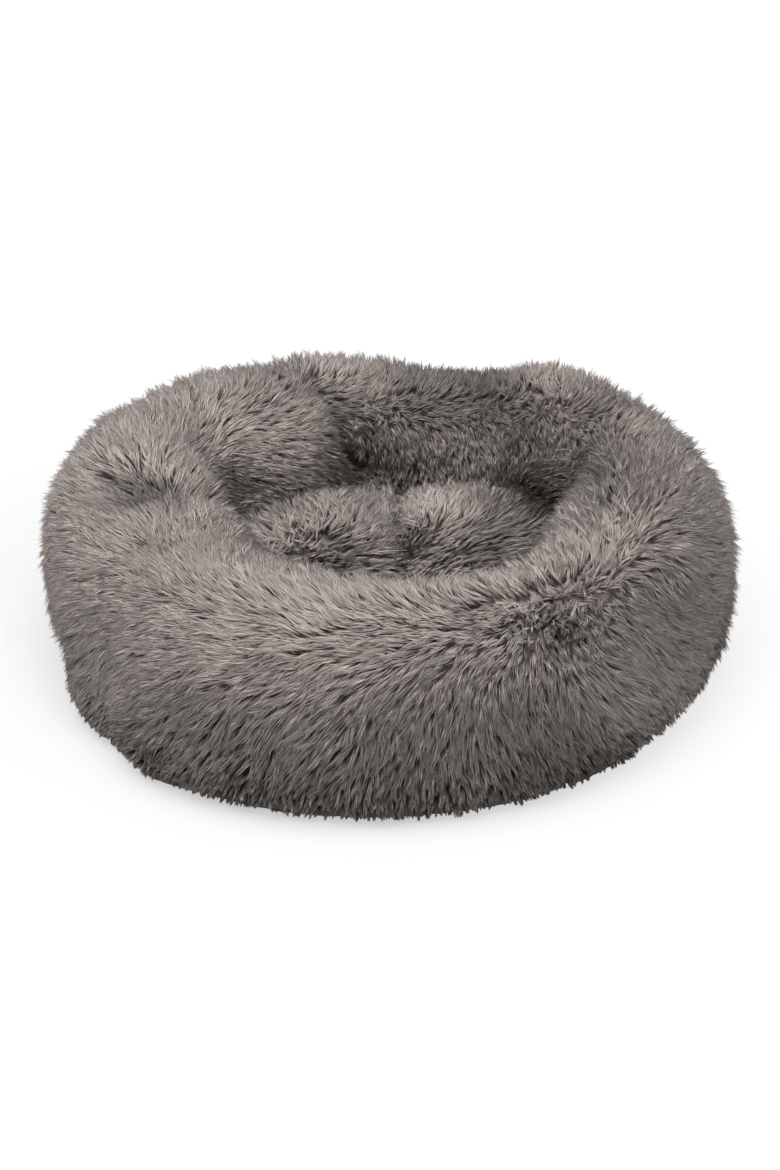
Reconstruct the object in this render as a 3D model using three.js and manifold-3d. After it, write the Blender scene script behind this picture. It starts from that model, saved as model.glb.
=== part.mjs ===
// A round fluffy pet bed: a stuffed bolster under five long-pile fur panels, round a stuffed seat,
// on a plain fabric base that a zip closes. Millimetres, +Z up. The bed stands on z = 0 with the
// middle of its outline over the origin; angles are in degrees, anticlockwise from +X.

import * as THREE from "three";
import { mergeVertices } from "three/addons/utils/BufferGeometryUtils.js";
import Module from "manifold-3d";

const wasm = await Module();
wasm.setup();

// Driving dimensions of the bed, measured over the tips of the fur
const OUTER_RADIUS = 304;
const BOLSTER_WIDTH = 136;
const INNER_RADIUS = OUTER_RADIUS - BOLSTER_WIDTH;
const BOLSTER_HEIGHT = 192;
const WIDEST_HEIGHT = 88;
const SEAT_RIM_HEIGHT = 90;
const SEAT_CROWN = 8;

// Fabric, pile and clearances
const PILE_LENGTH = 24;
const BACKING_THICKNESS = 2;
const FUR_THICKNESS = PILE_LENGTH + BACKING_THICKNESS;
const FOOT_THICKNESS = 12;
const CLEARANCE = 0.3;
const PILLOW_CLEARANCE = 0.6;
const SEAM_GAP = 0.7;
const FUR_FOOT_HEIGHT = 0.5;
const CUT_OVERRUN = 20;

// The bolster's outline, every 30 degrees from +X: how far out it reaches, how wide and how high it is
// there, how far out its crest lies between its inner and outer sides, and how far its foot is drawn in
const OUTER_SHARES = [1, 1, 1, 0.97, 0.985, 1.03, 1, 1, 1.035, 0.995, 0.98, 0.97];
const WIDTH_SHARES = [1.15, 0.85, 0.93, 0.86, 1.16, 1.12, 1.25, 1.35, 1.18, 0.9, 0.96, 1.16];
const HEIGHT_SHARES = [0.985, 1.01, 1.02, 0.99, 1.06, 1.03, 0.98, 0.97, 0.98, 0.97, 0.97, 0.985];
const CREST_SHARES = [0.5, 0.5, 0.5, 0.5, 0.48, 0.5, 0.5, 0.5, 0.52, 0.52, 0.5, 0.5];
const FOOT_INSET_SHARE = 0.2;

// Seams, each where a fur panel starts, and the creases that draw the bolster in there and at its folds:
// on its inner side, down from its top, and on its outer side
const SEAMS = [
  { panel: "back", degrees: 36 },
  { panel: "back_left", degrees: 96 },
  { panel: "left", degrees: 150 },
  { panel: "front", degrees: 216 },
  { panel: "right", degrees: 300 },
];
const CREASE_DEPTH = 22;
const CREASES = [
  { degrees: 36, spreadDegrees: 9, innerShare: 0.5, topShare: 0.15, outerShare: 0.1 },
  { degrees: 72, spreadDegrees: 12, innerShare: 0.2, topShare: 0.35, outerShare: 0 },
  { degrees: 97, spreadDegrees: 7, innerShare: 1, topShare: 0.15, outerShare: 0 },
  { degrees: 115, spreadDegrees: 7, innerShare: 0, topShare: 0.3, outerShare: 0 },
  { degrees: 151, spreadDegrees: 9, innerShare: 0.7, topShare: 0.2, outerShare: 0.1 },
  { degrees: 186, spreadDegrees: 7, innerShare: 0.1, topShare: 0.9, outerShare: 0.1 },
  { degrees: 218, spreadDegrees: 6, innerShare: 0.1, topShare: 0.1, outerShare: 0.4 },
  { degrees: 300, spreadDegrees: 10, innerShare: 0.2, topShare: 0.2, outerShare: 0 },
];

// Seat: two mounds, placed by shares of the inner radius, and the crease that runs between them
const SEAT_MOUNDS = [
  { acrossShare: -0.42, backShare: 0.62 },
  { acrossShare: 0.46, backShare: 0.6 },
];
const SEAT_MOUND_HEIGHT = 18;
const SEAT_MOUND_SPREAD = 62;
const SEAT_CREASE_X = 8;
const SEAT_CREASE_DEPTH = 20;
const SEAT_CREASE_WIDTH = 24;
const UNDER_FOOT_SHARE = 0.99;

// Base fabric, its folded hems along the zip, and the binding over its seam
const BASE_THICKNESS = 1.6;
const HEM_WIDTH = 8;
const BINDING_THICKNESS = 1;
const BINDING_WIDTH = 10;
const PILLOW_BASE = BASE_THICKNESS + BINDING_THICKNESS + 2 * CLEARANCE;

// Zip
const ZIP_SET_BACK = 20.7;
const ZIP_OPENING = 18;
const TAPE_THICKNESS = 0.8;
const TAPE_WIDTH = 14;
const TOOTH_PITCH = 4;
const TOOTH_HEIGHT = 1.4;
const ROW_WIDTH = 3;
const ROW_THICKNESS = 2.6;
const STOP_LENGTH = 4;

// Zip slider and its pull tab
const SLIDER_LENGTH = 14;
const TAPE_LAP = 1.4;
const PLATE_THICKNESS = 1;
const FLANGE_THICKNESS = 1;
const WEDGE_LENGTH = 4;
const WEDGE_THICKNESS = 0.6;
const BAIL_LENGTH = 8;
const BAIL_WIDTH = 2;
const BAIL_THICKNESS = 0.8;
const TAB_LENGTH = 24;
const TAB_WIDTH = 7;
const TAB_THICKNESS = 1.2;
const TAB_EYE_LENGTH = 5;

// Across the zip: the slider's wedge passes between the rows of teeth, and its flanges lap over the tapes
const ROW_GAP = WEDGE_THICKNESS + 2 * CLEARANCE;
const TAPE_START = ROW_GAP / 2 + ROW_WIDTH + CLEARANCE;
const SLIDER_WIDTH = 2 * (TAPE_START + TAPE_LAP);
const TAB_EYE_WIDTH = BAIL_WIDTH + 4 * CLEARANCE;

// Up through the zip: the bail, in which the tab's square end bar turns, the slider's lower plate, the rows
// with the tapes and hems at their middle, and the upper plate
const BAIL_BOTTOM = CLEARANCE;
const BAIL_OPENING = TAB_THICKNESS * Math.SQRT2 + 2 * CLEARANCE;
const TAB_PIVOT_HEIGHT = BAIL_BOTTOM + BAIL_THICKNESS + BAIL_OPENING / 2;
const PLATE_BOTTOM = BAIL_BOTTOM + BAIL_THICKNESS + BAIL_OPENING;
const ROW_BOTTOM = PLATE_BOTTOM + PLATE_THICKNESS + CLEARANCE;
const ROW_TOP = ROW_BOTTOM + ROW_THICKNESS;
const TAPE_BOTTOM = (ROW_BOTTOM + ROW_TOP - TAPE_THICKNESS) / 2;
const HEM_HEIGHT = TAPE_BOTTOM - CLEARANCE;
const SLIDER_TOP = ROW_TOP + CLEARANCE + PLATE_THICKNESS;

// Along the zip: the opening and its tapes end short of the bolster, and the teeth so far short of that end
// that the tab turns over there without touching the base
const OPENING_END = INNER_RADIUS - ZIP_SET_BACK;
const ZIP_LENGTH = 2 * (OPENING_END - CLEARANCE - TAB_LENGTH) + SLIDER_LENGTH;

// How finely the soft forms are divided, and how square their sections are
const FULL_TURN = 360;
const STATION_DEGREES = 6;
const LOWER_STEPS = 4;
const UPPER_STEPS = 5;
const PAD_RINGS = 6;
const OUTLINE_POWER = 2.3;

const FUR_COLOUR = "#a09287";
const PILLOW_COLOUR = "#e8e6e1";
const BASE_COLOUR = "#8d857d";
const TAPE_COLOUR = "#7d746c";
const METAL_COLOUR = "#9a9a98";

const bed = new THREE.Group();

function addPiece(name, geometry, colour, roughness, metalness = 0) {
  const material = new THREE.MeshStandardMaterial({ color: colour, roughness, metalness });
  const mesh = new THREE.Mesh(geometry, material);
  mesh.name = name;
  bed.add(mesh);
  return mesh;
}

// Smooth closed curve through shares that are evenly spaced round the bed
function shareAt(shares, degrees) {
  const turned = THREE.MathUtils.euclideanModulo(degrees, FULL_TURN);
  const place = (turned * shares.length) / FULL_TURN;
  const first = Math.floor(place);
  const t = place - first;
  const near = [-1, 0, 1, 2].map((step) => shares[(first + step + shares.length) % shares.length]);
  const [before, here, next, after] = near;
  const bend = 2 * before - 5 * here + 4 * next - after;
  const twist = 3 * (here - next) + after - before;
  return here + (t * (next - before + t * (bend + t * twist))) / 2;
}

function angleBetween(a, b) {
  return Math.abs(THREE.MathUtils.euclideanModulo(a - b + FULL_TURN / 2, FULL_TURN) - FULL_TURN / 2);
}

// How far the creases draw one side of the bolster in at an angle
function drawnInAt(degrees, side) {
  let drawn = 0;
  for (const crease of CREASES) {
    const away = angleBetween(degrees, crease.degrees) / crease.spreadDegrees;
    drawn += CREASE_DEPTH * crease[side] * Math.exp(-away * away);
  }
  return drawn;
}

// The bolster's main radii and its height at an angle, at a depth under the tips of the fur, which
// lies pressed down to its foot's thickness where it meets the floor
function bolsterAt(degrees, depth) {
  const outside = OUTER_RADIUS * shareAt(OUTER_SHARES, degrees);
  const width = BOLSTER_WIDTH * shareAt(WIDTH_SHARES, degrees);
  const tipOuter = outside - drawnInAt(degrees, "outerShare");
  const tipInner = outside - width + drawnInAt(degrees, "innerShare");
  const tipTop = BOLSTER_HEIGHT * shareAt(HEIGHT_SHARES, degrees) - drawnInAt(degrees, "topShare");
  return {
    foot: tipOuter - width * FOOT_INSET_SHARE - (depth * FOOT_THICKNESS) / FUR_THICKNESS,
    outer: tipOuter - depth,
    crest: tipInner + (tipOuter - tipInner) * shareAt(CREST_SHARES, degrees),
    inner: tipInner + depth,
    height: tipTop - depth,
  };
}

// Quarter of a squarish ellipse: from where it is upright at (upright.r) to where it lies level at (level.z)
function quarterArc(upright, level, steps) {
  const points = [];
  for (let i = 0; i <= steps; i += 1) {
    const turn = (i / steps) * (Math.PI / 2);
    const out = Math.cos(turn) ** (2 / OUTLINE_POWER);
    const along = Math.sin(turn) ** (2 / OUTLINE_POWER);
    const r = level.r + (upright.r - level.r) * out;
    const z = upright.z + (level.z - upright.z) * along;
    points.push(new THREE.Vector2(r, z));
  }
  points[steps].x = level.r;
  return points;
}

// The bolster's surface at a depth, as section points from its outer foot over the crest to its inner foot
function bolsterCurve(degrees, depth, footHeight, innerFootHeight, footClearance = 0) {
  const at = bolsterAt(degrees, depth);
  const outer = { r: at.outer, z: WIDEST_HEIGHT };
  const inner = { r: at.inner, z: WIDEST_HEIGHT };
  const crest = { r: at.crest, z: at.height };
  const foot = { r: at.foot - footClearance, z: footHeight };
  const lower = quarterArc(outer, foot, LOWER_STEPS).reverse();
  const upperOuter = quarterArc(outer, crest, UPPER_STEPS).slice(1);
  const upperInner = quarterArc(inner, crest, UPPER_STEPS).reverse().slice(1);
  const innerFoot = new THREE.Vector2(at.inner, innerFootHeight);
  return [...lower, ...upperOuter, ...upperInner, innerFoot];
}

// The stations of one sector, from seam to seam, anticlockwise, each seam half open
function stationsBetween(from, to) {
  const half = THREE.MathUtils.radToDeg(SEAM_GAP / 2 / INNER_RADIUS);
  const last = to > from ? to : to + FULL_TURN;
  const stations = [from + half];
  for (let at = from + STATION_DEGREES; at < last; at += STATION_DEGREES) stations.push(at);
  stations.push(last - half);
  return stations;
}

function onRing(point, degrees) {
  const turn = THREE.MathUtils.degToRad(degrees);
  return [point.x * Math.cos(turn), point.x * Math.sin(turn), point.y];
}

function geometryOf(positions, faces) {
  const geometry = new THREE.BufferGeometry();
  geometry.setAttribute("position", new THREE.Float32BufferAttribute(positions.flat(), 3));
  geometry.setIndex(faces.flat());
  return geometry;
}

// A closed solid from one section after another round a sector; each section runs anticlockwise in
// (r, z). Where one surface lies in another, both split their quads along the same diagonal.
function sweepSector(sectionAt, stations, otherDiagonal) {
  const sections = stations.map((degrees) => sectionAt(degrees));
  const count = sections[0].length;
  const positions = sections.flatMap((section, s) => section.map((point) => onRing(point, stations[s])));
  const faces = [];
  for (let s = 0; s + 1 < stations.length; s += 1) {
    for (let p = 0; p < count; p += 1) {
      const here = s * count + p;
      const next = s * count + ((p + 1) % count);
      if (otherDiagonal) faces.push([here, here + count, next + count], [here, next + count, next]);
      else faces.push([here, here + count, next], [next, here + count, next + count]);
    }
  }
  const lastStart = (stations.length - 1) * count;
  for (const [a, b, c] of THREE.ShapeUtils.triangulateShape(sections[0], [])) {
    faces.push([a, b, c]);
  }
  for (const [a, b, c] of THREE.ShapeUtils.triangulateShape(sections[sections.length - 1], [])) {
    faces.push([lastStart + a, lastStart + c, lastStart + b]);
  }
  return geometryOf(positions, faces);
}

// A closed round pad between two surfaces; its rings' radii at an angle run from its middle to its edge
function roundPad(ringsAt, topAt, bottomAt) {
  const stations = [];
  for (let at = 0; at < FULL_TURN; at += STATION_DEGREES) stations.push(at);
  const count = stations.length;
  const rings = ringsAt(0).length;
  const positions = [];
  for (const heightAt of [topAt, bottomAt]) {
    positions.push([0, 0, heightAt(0, 0)]);
    for (let ring = 0; ring < rings; ring += 1) {
      for (const degrees of stations) {
        const r = ringsAt(degrees)[ring];
        positions.push(onRing(new THREE.Vector2(r, heightAt(degrees, r)), degrees));
      }
    }
  }
  const layer = 1 + rings * count;
  const at = (ring, s, start) => start + 1 + (ring - 1) * count + (s % count);
  const faces = [];
  for (let s = 0; s < count; s += 1) {
    faces.push([0, at(1, s, 0), at(1, s + 1, 0)]);
    faces.push([layer, at(1, s + 1, layer), at(1, s, layer)]);
    for (let ring = 1; ring < rings; ring += 1) {
      const [a, b] = [at(ring, s, 0), at(ring, s + 1, 0)];
      const [c, d] = [at(ring + 1, s, 0), at(ring + 1, s + 1, 0)];
      faces.push([a, c, d], [a, d, b]);
      faces.push([a + layer, d + layer, c + layer], [a + layer, b + layer, d + layer]);
    }
    const [topHere, topNext] = [at(rings, s, 0), at(rings, s + 1, 0)];
    faces.push([topHere, topHere + layer, topNext + layer], [topHere, topNext + layer, topNext]);
  }
  return geometryOf(positions, faces);
}

function solidOf(geometry) {
  const plain = geometry.clone();
  plain.deleteAttribute("normal");
  plain.deleteAttribute("uv");
  const merged = mergeVertices(plain);
  const vertProperties = merged.attributes.position.array;
  const triVerts = new Uint32Array(merged.index.array);
  return new wasm.Manifold(new wasm.Mesh({ numProp: 3, vertProperties, triVerts }));
}

function geometryFrom(solid) {
  const mesh = solid.getMesh();
  const geometry = new THREE.BufferGeometry();
  geometry.setAttribute("position", new THREE.BufferAttribute(mesh.vertProperties, mesh.numProp));
  geometry.setIndex(new THREE.BufferAttribute(mesh.triVerts, 1));
  return geometry;
}

function joined(geometries) {
  return geometryFrom(geometries.map(solidOf).reduce((whole, next) => whole.add(next)));
}

// A box between two corners
function boxBetween(low, high) {
  const size = high.map((value, i) => value - low[i]);
  const box = new THREE.BoxGeometry(...size);
  return box.translate(...low.map((value, i) => value + size[i] / 2));
}

function extrudeUp(shape, fromHeight, height) {
  const geometry = new THREE.ExtrudeGeometry(shape, { depth: height, bevelEnabled: false });
  return geometry.translate(0, 0, fromHeight);
}

// Bolster cover: five fur panels, each from the base seam over the crest and down to the seat seam
const FUR_INNER_FOOT = SEAT_RIM_HEIGHT - FUR_THICKNESS;

function furSection(degrees) {
  const tips = bolsterCurve(degrees, 0, FUR_FOOT_HEIGHT, FUR_INNER_FOOT);
  const backing = bolsterCurve(degrees, FUR_THICKNESS, FUR_FOOT_HEIGHT, FUR_INNER_FOOT);
  return [...tips, ...backing.reverse()];
}

// The pillow behind a fur panel, flat where it lies on the base
function bolsterPillowSection(degrees) {
  const depth = FUR_THICKNESS + PILLOW_CLEARANCE;
  return bolsterCurve(degrees, depth, PILLOW_BASE, PILLOW_BASE, 2 * PILLOW_CLEARANCE);
}

function addBolster() {
  SEAMS.forEach(({ panel, degrees }, i) => {
    const stations = stationsBetween(degrees, SEAMS[(i + 1) % SEAMS.length].degrees);
    const fur = sweepSector(furSection, stations, false);
    const pillow = sweepSector(bolsterPillowSection, stations, true);
    addPiece(`fur_panel_${panel}`, fur, FUR_COLOUR, 0.95);
    addPiece(`bolster_pillow_${panel}`, pillow, PILLOW_COLOUR, 0.9);
  });
}

// Seat: its edge, its crowned and creased fur, and the two pillows under it
function seatEdgeAt(degrees) {
  return bolsterAt(degrees, 0).inner - CLEARANCE;
}

function seatRingsAt(degrees) {
  const rings = [];
  for (let ring = 1; ring <= PAD_RINGS; ring += 1) {
    rings.push(seatEdgeAt(degrees) * Math.sqrt(ring / PAD_RINGS));
  }
  return rings;
}

function seatTopAt(degrees, r) {
  const turn = THREE.MathUtils.degToRad(degrees);
  const place = new THREE.Vector2(r * Math.cos(turn), r * Math.sin(turn));
  const crease = Math.exp(-(((place.x - SEAT_CREASE_X) / SEAT_CREASE_WIDTH) ** 2));
  const crown = 1 - (r / seatEdgeAt(degrees)) ** 2;
  let height = SEAT_RIM_HEIGHT + SEAT_CROWN * crown - SEAT_CREASE_DEPTH * crease;
  for (const { acrossShare, backShare } of SEAT_MOUNDS) {
    const middle = new THREE.Vector2(acrossShare, backShare).multiplyScalar(INNER_RADIUS);
    height += SEAT_MOUND_HEIGHT * Math.exp(-((place.distanceTo(middle) / SEAT_MOUND_SPREAD) ** 2));
  }
  return height;
}

// The pillows reach out under the foot of the bolster's fur, and no higher than it there
function seatPillowRingsAt(degrees) {
  return [...seatRingsAt(degrees), bolsterAt(degrees, FUR_THICKNESS).inner - CLEARANCE];
}

function seatPillowTopAt(degrees, r) {
  const fur = seatTopAt(degrees, Math.min(r, seatEdgeAt(degrees))) - FUR_THICKNESS;
  const underFoot = r < seatEdgeAt(degrees) * UNDER_FOOT_SHARE ? fur : Math.min(fur, FUR_INNER_FOOT);
  return underFoot - PILLOW_CLEARANCE;
}

function addSeat() {
  const furUnder = (degrees, r) => seatTopAt(degrees, r) - FUR_THICKNESS;
  addPiece("seat_fur_panel", roundPad(seatRingsAt, seatTopAt, furUnder), FUR_COLOUR, 0.95);

  const whole = solidOf(roundPad(seatPillowRingsAt, seatPillowTopAt, () => PILLOW_BASE));
  const half = OPENING_END + CLEARANCE;
  const aside = Math.max(ZIP_OPENING / 2 + HEM_WIDTH, TAPE_START + TAPE_WIDTH) + CLEARANCE;
  const groove = solidOf(boxBetween([-half, -aside, 0], [half, aside, SLIDER_TOP + CLEARANCE]));
  const grooved = whole.subtract(groove);
  const reach = OUTER_RADIUS;
  const top = BOLSTER_HEIGHT;
  const leftEnd = SEAT_CREASE_X - SEAM_GAP / 2;
  const rightEnd = SEAT_CREASE_X + SEAM_GAP / 2;
  const leftSide = solidOf(boxBetween([leftEnd, -reach, -CUT_OVERRUN], [reach, reach, top]));
  const rightSide = solidOf(boxBetween([-reach, -reach, -CUT_OVERRUN], [rightEnd, reach, top]));
  addPiece("seat_pillow_left", geometryFrom(grooved.subtract(leftSide)), PILLOW_COLOUR, 0.9);
  addPiece("seat_pillow_right", geometryFrom(grooved.subtract(rightSide)), PILLOW_COLOUR, 0.9);
}

// The same piece across the zip, with its faces turned outward again
function mirroredInY(geometry, side) {
  if (side > 0) return geometry;
  const flipped = geometry.index ? geometry.toNonIndexed() : geometry.clone();
  flipped.scale(1, -1, 1);
  const position = flipped.attributes.position;
  const corner = new THREE.Vector3();
  const other = new THREE.Vector3();
  for (let i = 0; i < position.count; i += 3) {
    corner.fromBufferAttribute(position, i + 1);
    other.fromBufferAttribute(position, i + 2);
    position.setXYZ(i + 1, other.x, other.y, other.z);
    position.setXYZ(i + 2, corner.x, corner.y, corner.z);
  }
  return flipped;
}

function baseEdgeAt(degrees) {
  return bolsterAt(degrees, FUR_THICKNESS).foot - CLEARANCE;
}

// Base: two halves, each drawn on the +Y side, with a step and a folded hem where the zip opens between them
function baseOutline(side) {
  const seam = CLEARANCE / 2;
  const shape = new THREE.Shape();
  shape.moveTo(baseEdgeAt(0), seam);
  for (let at = STATION_DEGREES; at < FULL_TURN / 2; at += STATION_DEGREES) {
    const turn = THREE.MathUtils.degToRad(at);
    const r = baseEdgeAt(at * side);
    shape.lineTo(r * Math.cos(turn), r * Math.sin(turn));
  }
  shape.lineTo(-baseEdgeAt(FULL_TURN / 2), seam);
  shape.lineTo(-OPENING_END, seam);
  shape.lineTo(-OPENING_END, ZIP_OPENING / 2);
  shape.lineTo(OPENING_END, ZIP_OPENING / 2);
  shape.lineTo(OPENING_END, seam);
  return shape;
}

function addBase() {
  const hemEdge = ZIP_OPENING / 2;
  for (const [name, side] of Object.entries({ rear: 1, front: -1 })) {
    const sheet = extrudeUp(baseOutline(side), 0, BASE_THICKNESS);
    const hem = boxBetween([-OPENING_END, hemEdge, 0], [OPENING_END, hemEdge + HEM_WIDTH, HEM_HEIGHT]);
    addPiece(`base_panel_${name}`, mirroredInY(joined([sheet, hem]), side), BASE_COLOUR, 0.85);
  }
}

// Binding tape, flat round the inside of the base seam
function addBinding() {
  const outline = new THREE.Shape();
  const opening = new THREE.Path();
  for (let at = 0; at < FULL_TURN; at += STATION_DEGREES) {
    const turn = THREE.MathUtils.degToRad(at);
    const outer = baseEdgeAt(at);
    const inner = outer - BINDING_WIDTH;
    const draw = at === 0 ? "moveTo" : "lineTo";
    outline[draw](outer * Math.cos(turn), outer * Math.sin(turn));
    opening[draw](inner * Math.cos(turn), inner * Math.sin(turn));
  }
  outline.holes.push(opening);
  const ring = extrudeUp(outline, BASE_THICKNESS + CLEARANCE, BINDING_THICKNESS);
  addPiece("base_binding", ring, TAPE_COLOUR, 0.85);
}

// Zip tapes and rows of teeth, drawn on the +Y side of the zip; the front teeth stand half a pitch further on
function teethShape(firstTooth) {
  const shape = new THREE.Shape();
  const root = ROW_GAP / 2 + TOOTH_HEIGHT;
  const back = ROW_GAP / 2 + ROW_WIDTH;
  const start = -ZIP_LENGTH / 2;
  shape.moveTo(start, root);
  for (let x = start + firstTooth; x + TOOTH_PITCH / 2 < -start; x += TOOTH_PITCH) {
    const end = x + TOOTH_PITCH / 2;
    shape.lineTo(x, root);
    shape.lineTo(x, root - TOOTH_HEIGHT);
    shape.lineTo(end, root - TOOTH_HEIGHT);
    shape.lineTo(end, root);
  }
  shape.lineTo(-start, root);
  shape.lineTo(-start, back);
  shape.lineTo(start, back);
  return shape;
}

function addZip() {
  const stopStart = ZIP_LENGTH / 2 + CLEARANCE;
  for (const [name, side] of Object.entries({ rear: 1, front: -1 })) {
    const tape = boxBetween(
      [-OPENING_END, TAPE_START, TAPE_BOTTOM],
      [OPENING_END, TAPE_START + TAPE_WIDTH, TAPE_BOTTOM + TAPE_THICKNESS],
    );
    addPiece(`zip_tape_${name}`, mirroredInY(tape, side), TAPE_COLOUR, 0.85);
    const firstTooth = side > 0 ? TOOTH_PITCH / 4 : (TOOTH_PITCH * 3) / 4;
    const teeth = extrudeUp(teethShape(firstTooth), ROW_BOTTOM, ROW_THICKNESS);
    addPiece(`zip_teeth_${name}`, mirroredInY(teeth, side), TAPE_COLOUR, 0.5);
    const stop = boxBetween(
      [-stopStart - STOP_LENGTH, ROW_GAP / 2, ROW_BOTTOM],
      [-stopStart, ROW_GAP / 2 + ROW_WIDTH, ROW_TOP],
    );
    addPiece(`zip_top_stop_${name}`, mirroredInY(stop, side), METAL_COLOUR, 0.4, 0.9);
  }
  const across = ROW_GAP / 2 + ROW_WIDTH;
  const bottomStop = boxBetween([stopStart, -across, ROW_BOTTOM], [stopStart + STOP_LENGTH, across, ROW_TOP]);
  addPiece("zip_bottom_stop", bottomStop, METAL_COLOUR, 0.4, 0.9);
}

// Slider: two plates joined by the wedge between the rows, flanges over the tapes, and the bail below
function addSlider() {
  const half = SLIDER_WIDTH / 2;
  const start = -ZIP_LENGTH / 2;
  const end = start + SLIDER_LENGTH;
  const plates = [PLATE_BOTTOM, SLIDER_TOP - PLATE_THICKNESS].map((z) =>
    boxBetween([start, -half, z], [end, half, z + PLATE_THICKNESS]),
  );
  const flanges = [-1, 1].flatMap((side) => {
    const low = Math.min(side * half, side * (half - FLANGE_THICKNESS));
    const high = low + FLANGE_THICKNESS;
    const tapeTop = TAPE_BOTTOM + TAPE_THICKNESS + CLEARANCE;
    return [
      boxBetween([start, low, PLATE_BOTTOM], [end, high, TAPE_BOTTOM - CLEARANCE]),
      boxBetween([start, low, tapeTop], [end, high, SLIDER_TOP]),
    ];
  });
  const wedge = boxBetween(
    [end - WEDGE_LENGTH, -WEDGE_THICKNESS / 2, PLATE_BOTTOM],
    [end, WEDGE_THICKNESS / 2, SLIDER_TOP],
  );
  const bail = bailArch(start + SLIDER_LENGTH / 2);
  addPiece("zip_slider", joined([...plates, ...flanges, wedge, bail]), METAL_COLOUR, 0.35, 0.9);
}

// The arch under the slider that holds the tab's eye, drawn in (x, z) and given its width along Y
function bailArch(middle) {
  const half = BAIL_LENGTH / 2;
  const leg = BAIL_THICKNESS;
  const across = BAIL_WIDTH / 2;
  const strap = boxBetween([middle - half, -across, BAIL_BOTTOM], [middle + half, across, BAIL_BOTTOM + leg]);
  const legs = [middle - half, middle + half - leg].map((x) =>
    boxBetween([x, -across, BAIL_BOTTOM], [x + leg, across, PLATE_BOTTOM + PLATE_THICKNESS]),
  );
  return joined([strap, ...legs]);
}

// Pull tab: a flat plate, lying under the zip at rest, whose end bar lies in the bail
function addPullTab() {
  const middle = -ZIP_LENGTH / 2 + SLIDER_LENGTH / 2;
  const bar = TAB_THICKNESS;
  const half = TAB_WIDTH / 2;
  const shape = new THREE.Shape();
  const round = half;
  shape.moveTo(-bar / 2, -half);
  shape.lineTo(TAB_LENGTH - round, -half);
  shape.absarc(TAB_LENGTH - round, 0, round, -Math.PI / 2, Math.PI / 2, false);
  shape.lineTo(-bar / 2, half);
  const eye = new THREE.Path();
  eye.moveTo(bar / 2, -TAB_EYE_WIDTH / 2);
  eye.lineTo(bar / 2, TAB_EYE_WIDTH / 2);
  eye.lineTo(bar / 2 + TAB_EYE_LENGTH, TAB_EYE_WIDTH / 2);
  eye.lineTo(bar / 2 + TAB_EYE_LENGTH, -TAB_EYE_WIDTH / 2);
  shape.holes.push(eye);
  const plate = extrudeUp(shape, TAB_PIVOT_HEIGHT - TAB_THICKNESS / 2, TAB_THICKNESS);
  addPiece("zip_pull_tab", plate.translate(middle, 0, 0), METAL_COLOUR, 0.35, 0.9);
}

addBolster();
addSeat();
addBase();
addBinding();
addZip();
addSlider();
addPullTab();

// Stand the bed with the middle of its outline over the origin
const box = new THREE.Box3().setFromObject(bed);
const middle = box.getCenter(new THREE.Vector3());
bed.position.set(-middle.x, -middle.y, -box.min.z);

export default bed;
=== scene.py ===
"""A round fluffy pet bed: long taupe faux fur over a stuffed bolster and seat, on a base with a zip."""

import math

import bpy
import numpy as np
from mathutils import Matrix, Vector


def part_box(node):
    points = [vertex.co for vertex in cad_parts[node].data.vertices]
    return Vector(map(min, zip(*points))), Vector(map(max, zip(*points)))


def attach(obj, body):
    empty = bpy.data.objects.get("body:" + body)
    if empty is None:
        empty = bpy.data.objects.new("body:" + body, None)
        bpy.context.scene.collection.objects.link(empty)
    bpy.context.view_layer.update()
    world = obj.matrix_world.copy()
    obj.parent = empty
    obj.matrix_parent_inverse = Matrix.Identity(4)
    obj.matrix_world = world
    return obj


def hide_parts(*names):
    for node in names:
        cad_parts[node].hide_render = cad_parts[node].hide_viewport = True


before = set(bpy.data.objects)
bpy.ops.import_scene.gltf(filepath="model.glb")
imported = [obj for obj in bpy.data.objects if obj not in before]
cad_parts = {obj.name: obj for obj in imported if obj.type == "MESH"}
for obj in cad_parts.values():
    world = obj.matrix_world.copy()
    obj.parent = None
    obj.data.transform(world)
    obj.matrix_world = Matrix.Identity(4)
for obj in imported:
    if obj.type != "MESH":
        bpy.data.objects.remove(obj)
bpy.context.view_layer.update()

MM = 0.001
MERGE_DISTANCE = 0.01 * MM
PHOTO_SIZE = (780, 1170)
FOCAL_PIXELS = 2140
CAMERA_DISTANCE = 1.9
CAMERA_ELEVATION = math.radians(26.3)
AIM_HEIGHT = 0.070
CAMERA_SINE, CAMERA_COSINE = math.sin(CAMERA_ELEVATION), math.cos(CAMERA_ELEVATION)
CAMERA_PLACE = (0, -CAMERA_DISTANCE * CAMERA_COSINE, AIM_HEIGHT + CAMERA_DISTANCE * CAMERA_SINE)

# The fur panels of the bolster and the angles of the seams at their two ends, in degrees round the bed
PANELS = {"back": (36, 96), "back_left": (96, 150), "left": (150, 216), "front": (216, 300),
          "right": (300, 36)}


# Camera, at the photograph's viewing angle

def add_camera():
    bpy.ops.object.camera_add(location=CAMERA_PLACE, rotation=(math.pi / 2 - CAMERA_ELEVATION, 0, 0))
    camera = bpy.context.object
    camera.name = "portrait_camera"
    camera.data.sensor_fit = "VERTICAL"
    camera.data.sensor_height = 36
    camera.data.lens = 36 * FOCAL_PIXELS / PHOTO_SIZE[1]
    bpy.context.scene.camera = camera


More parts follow.
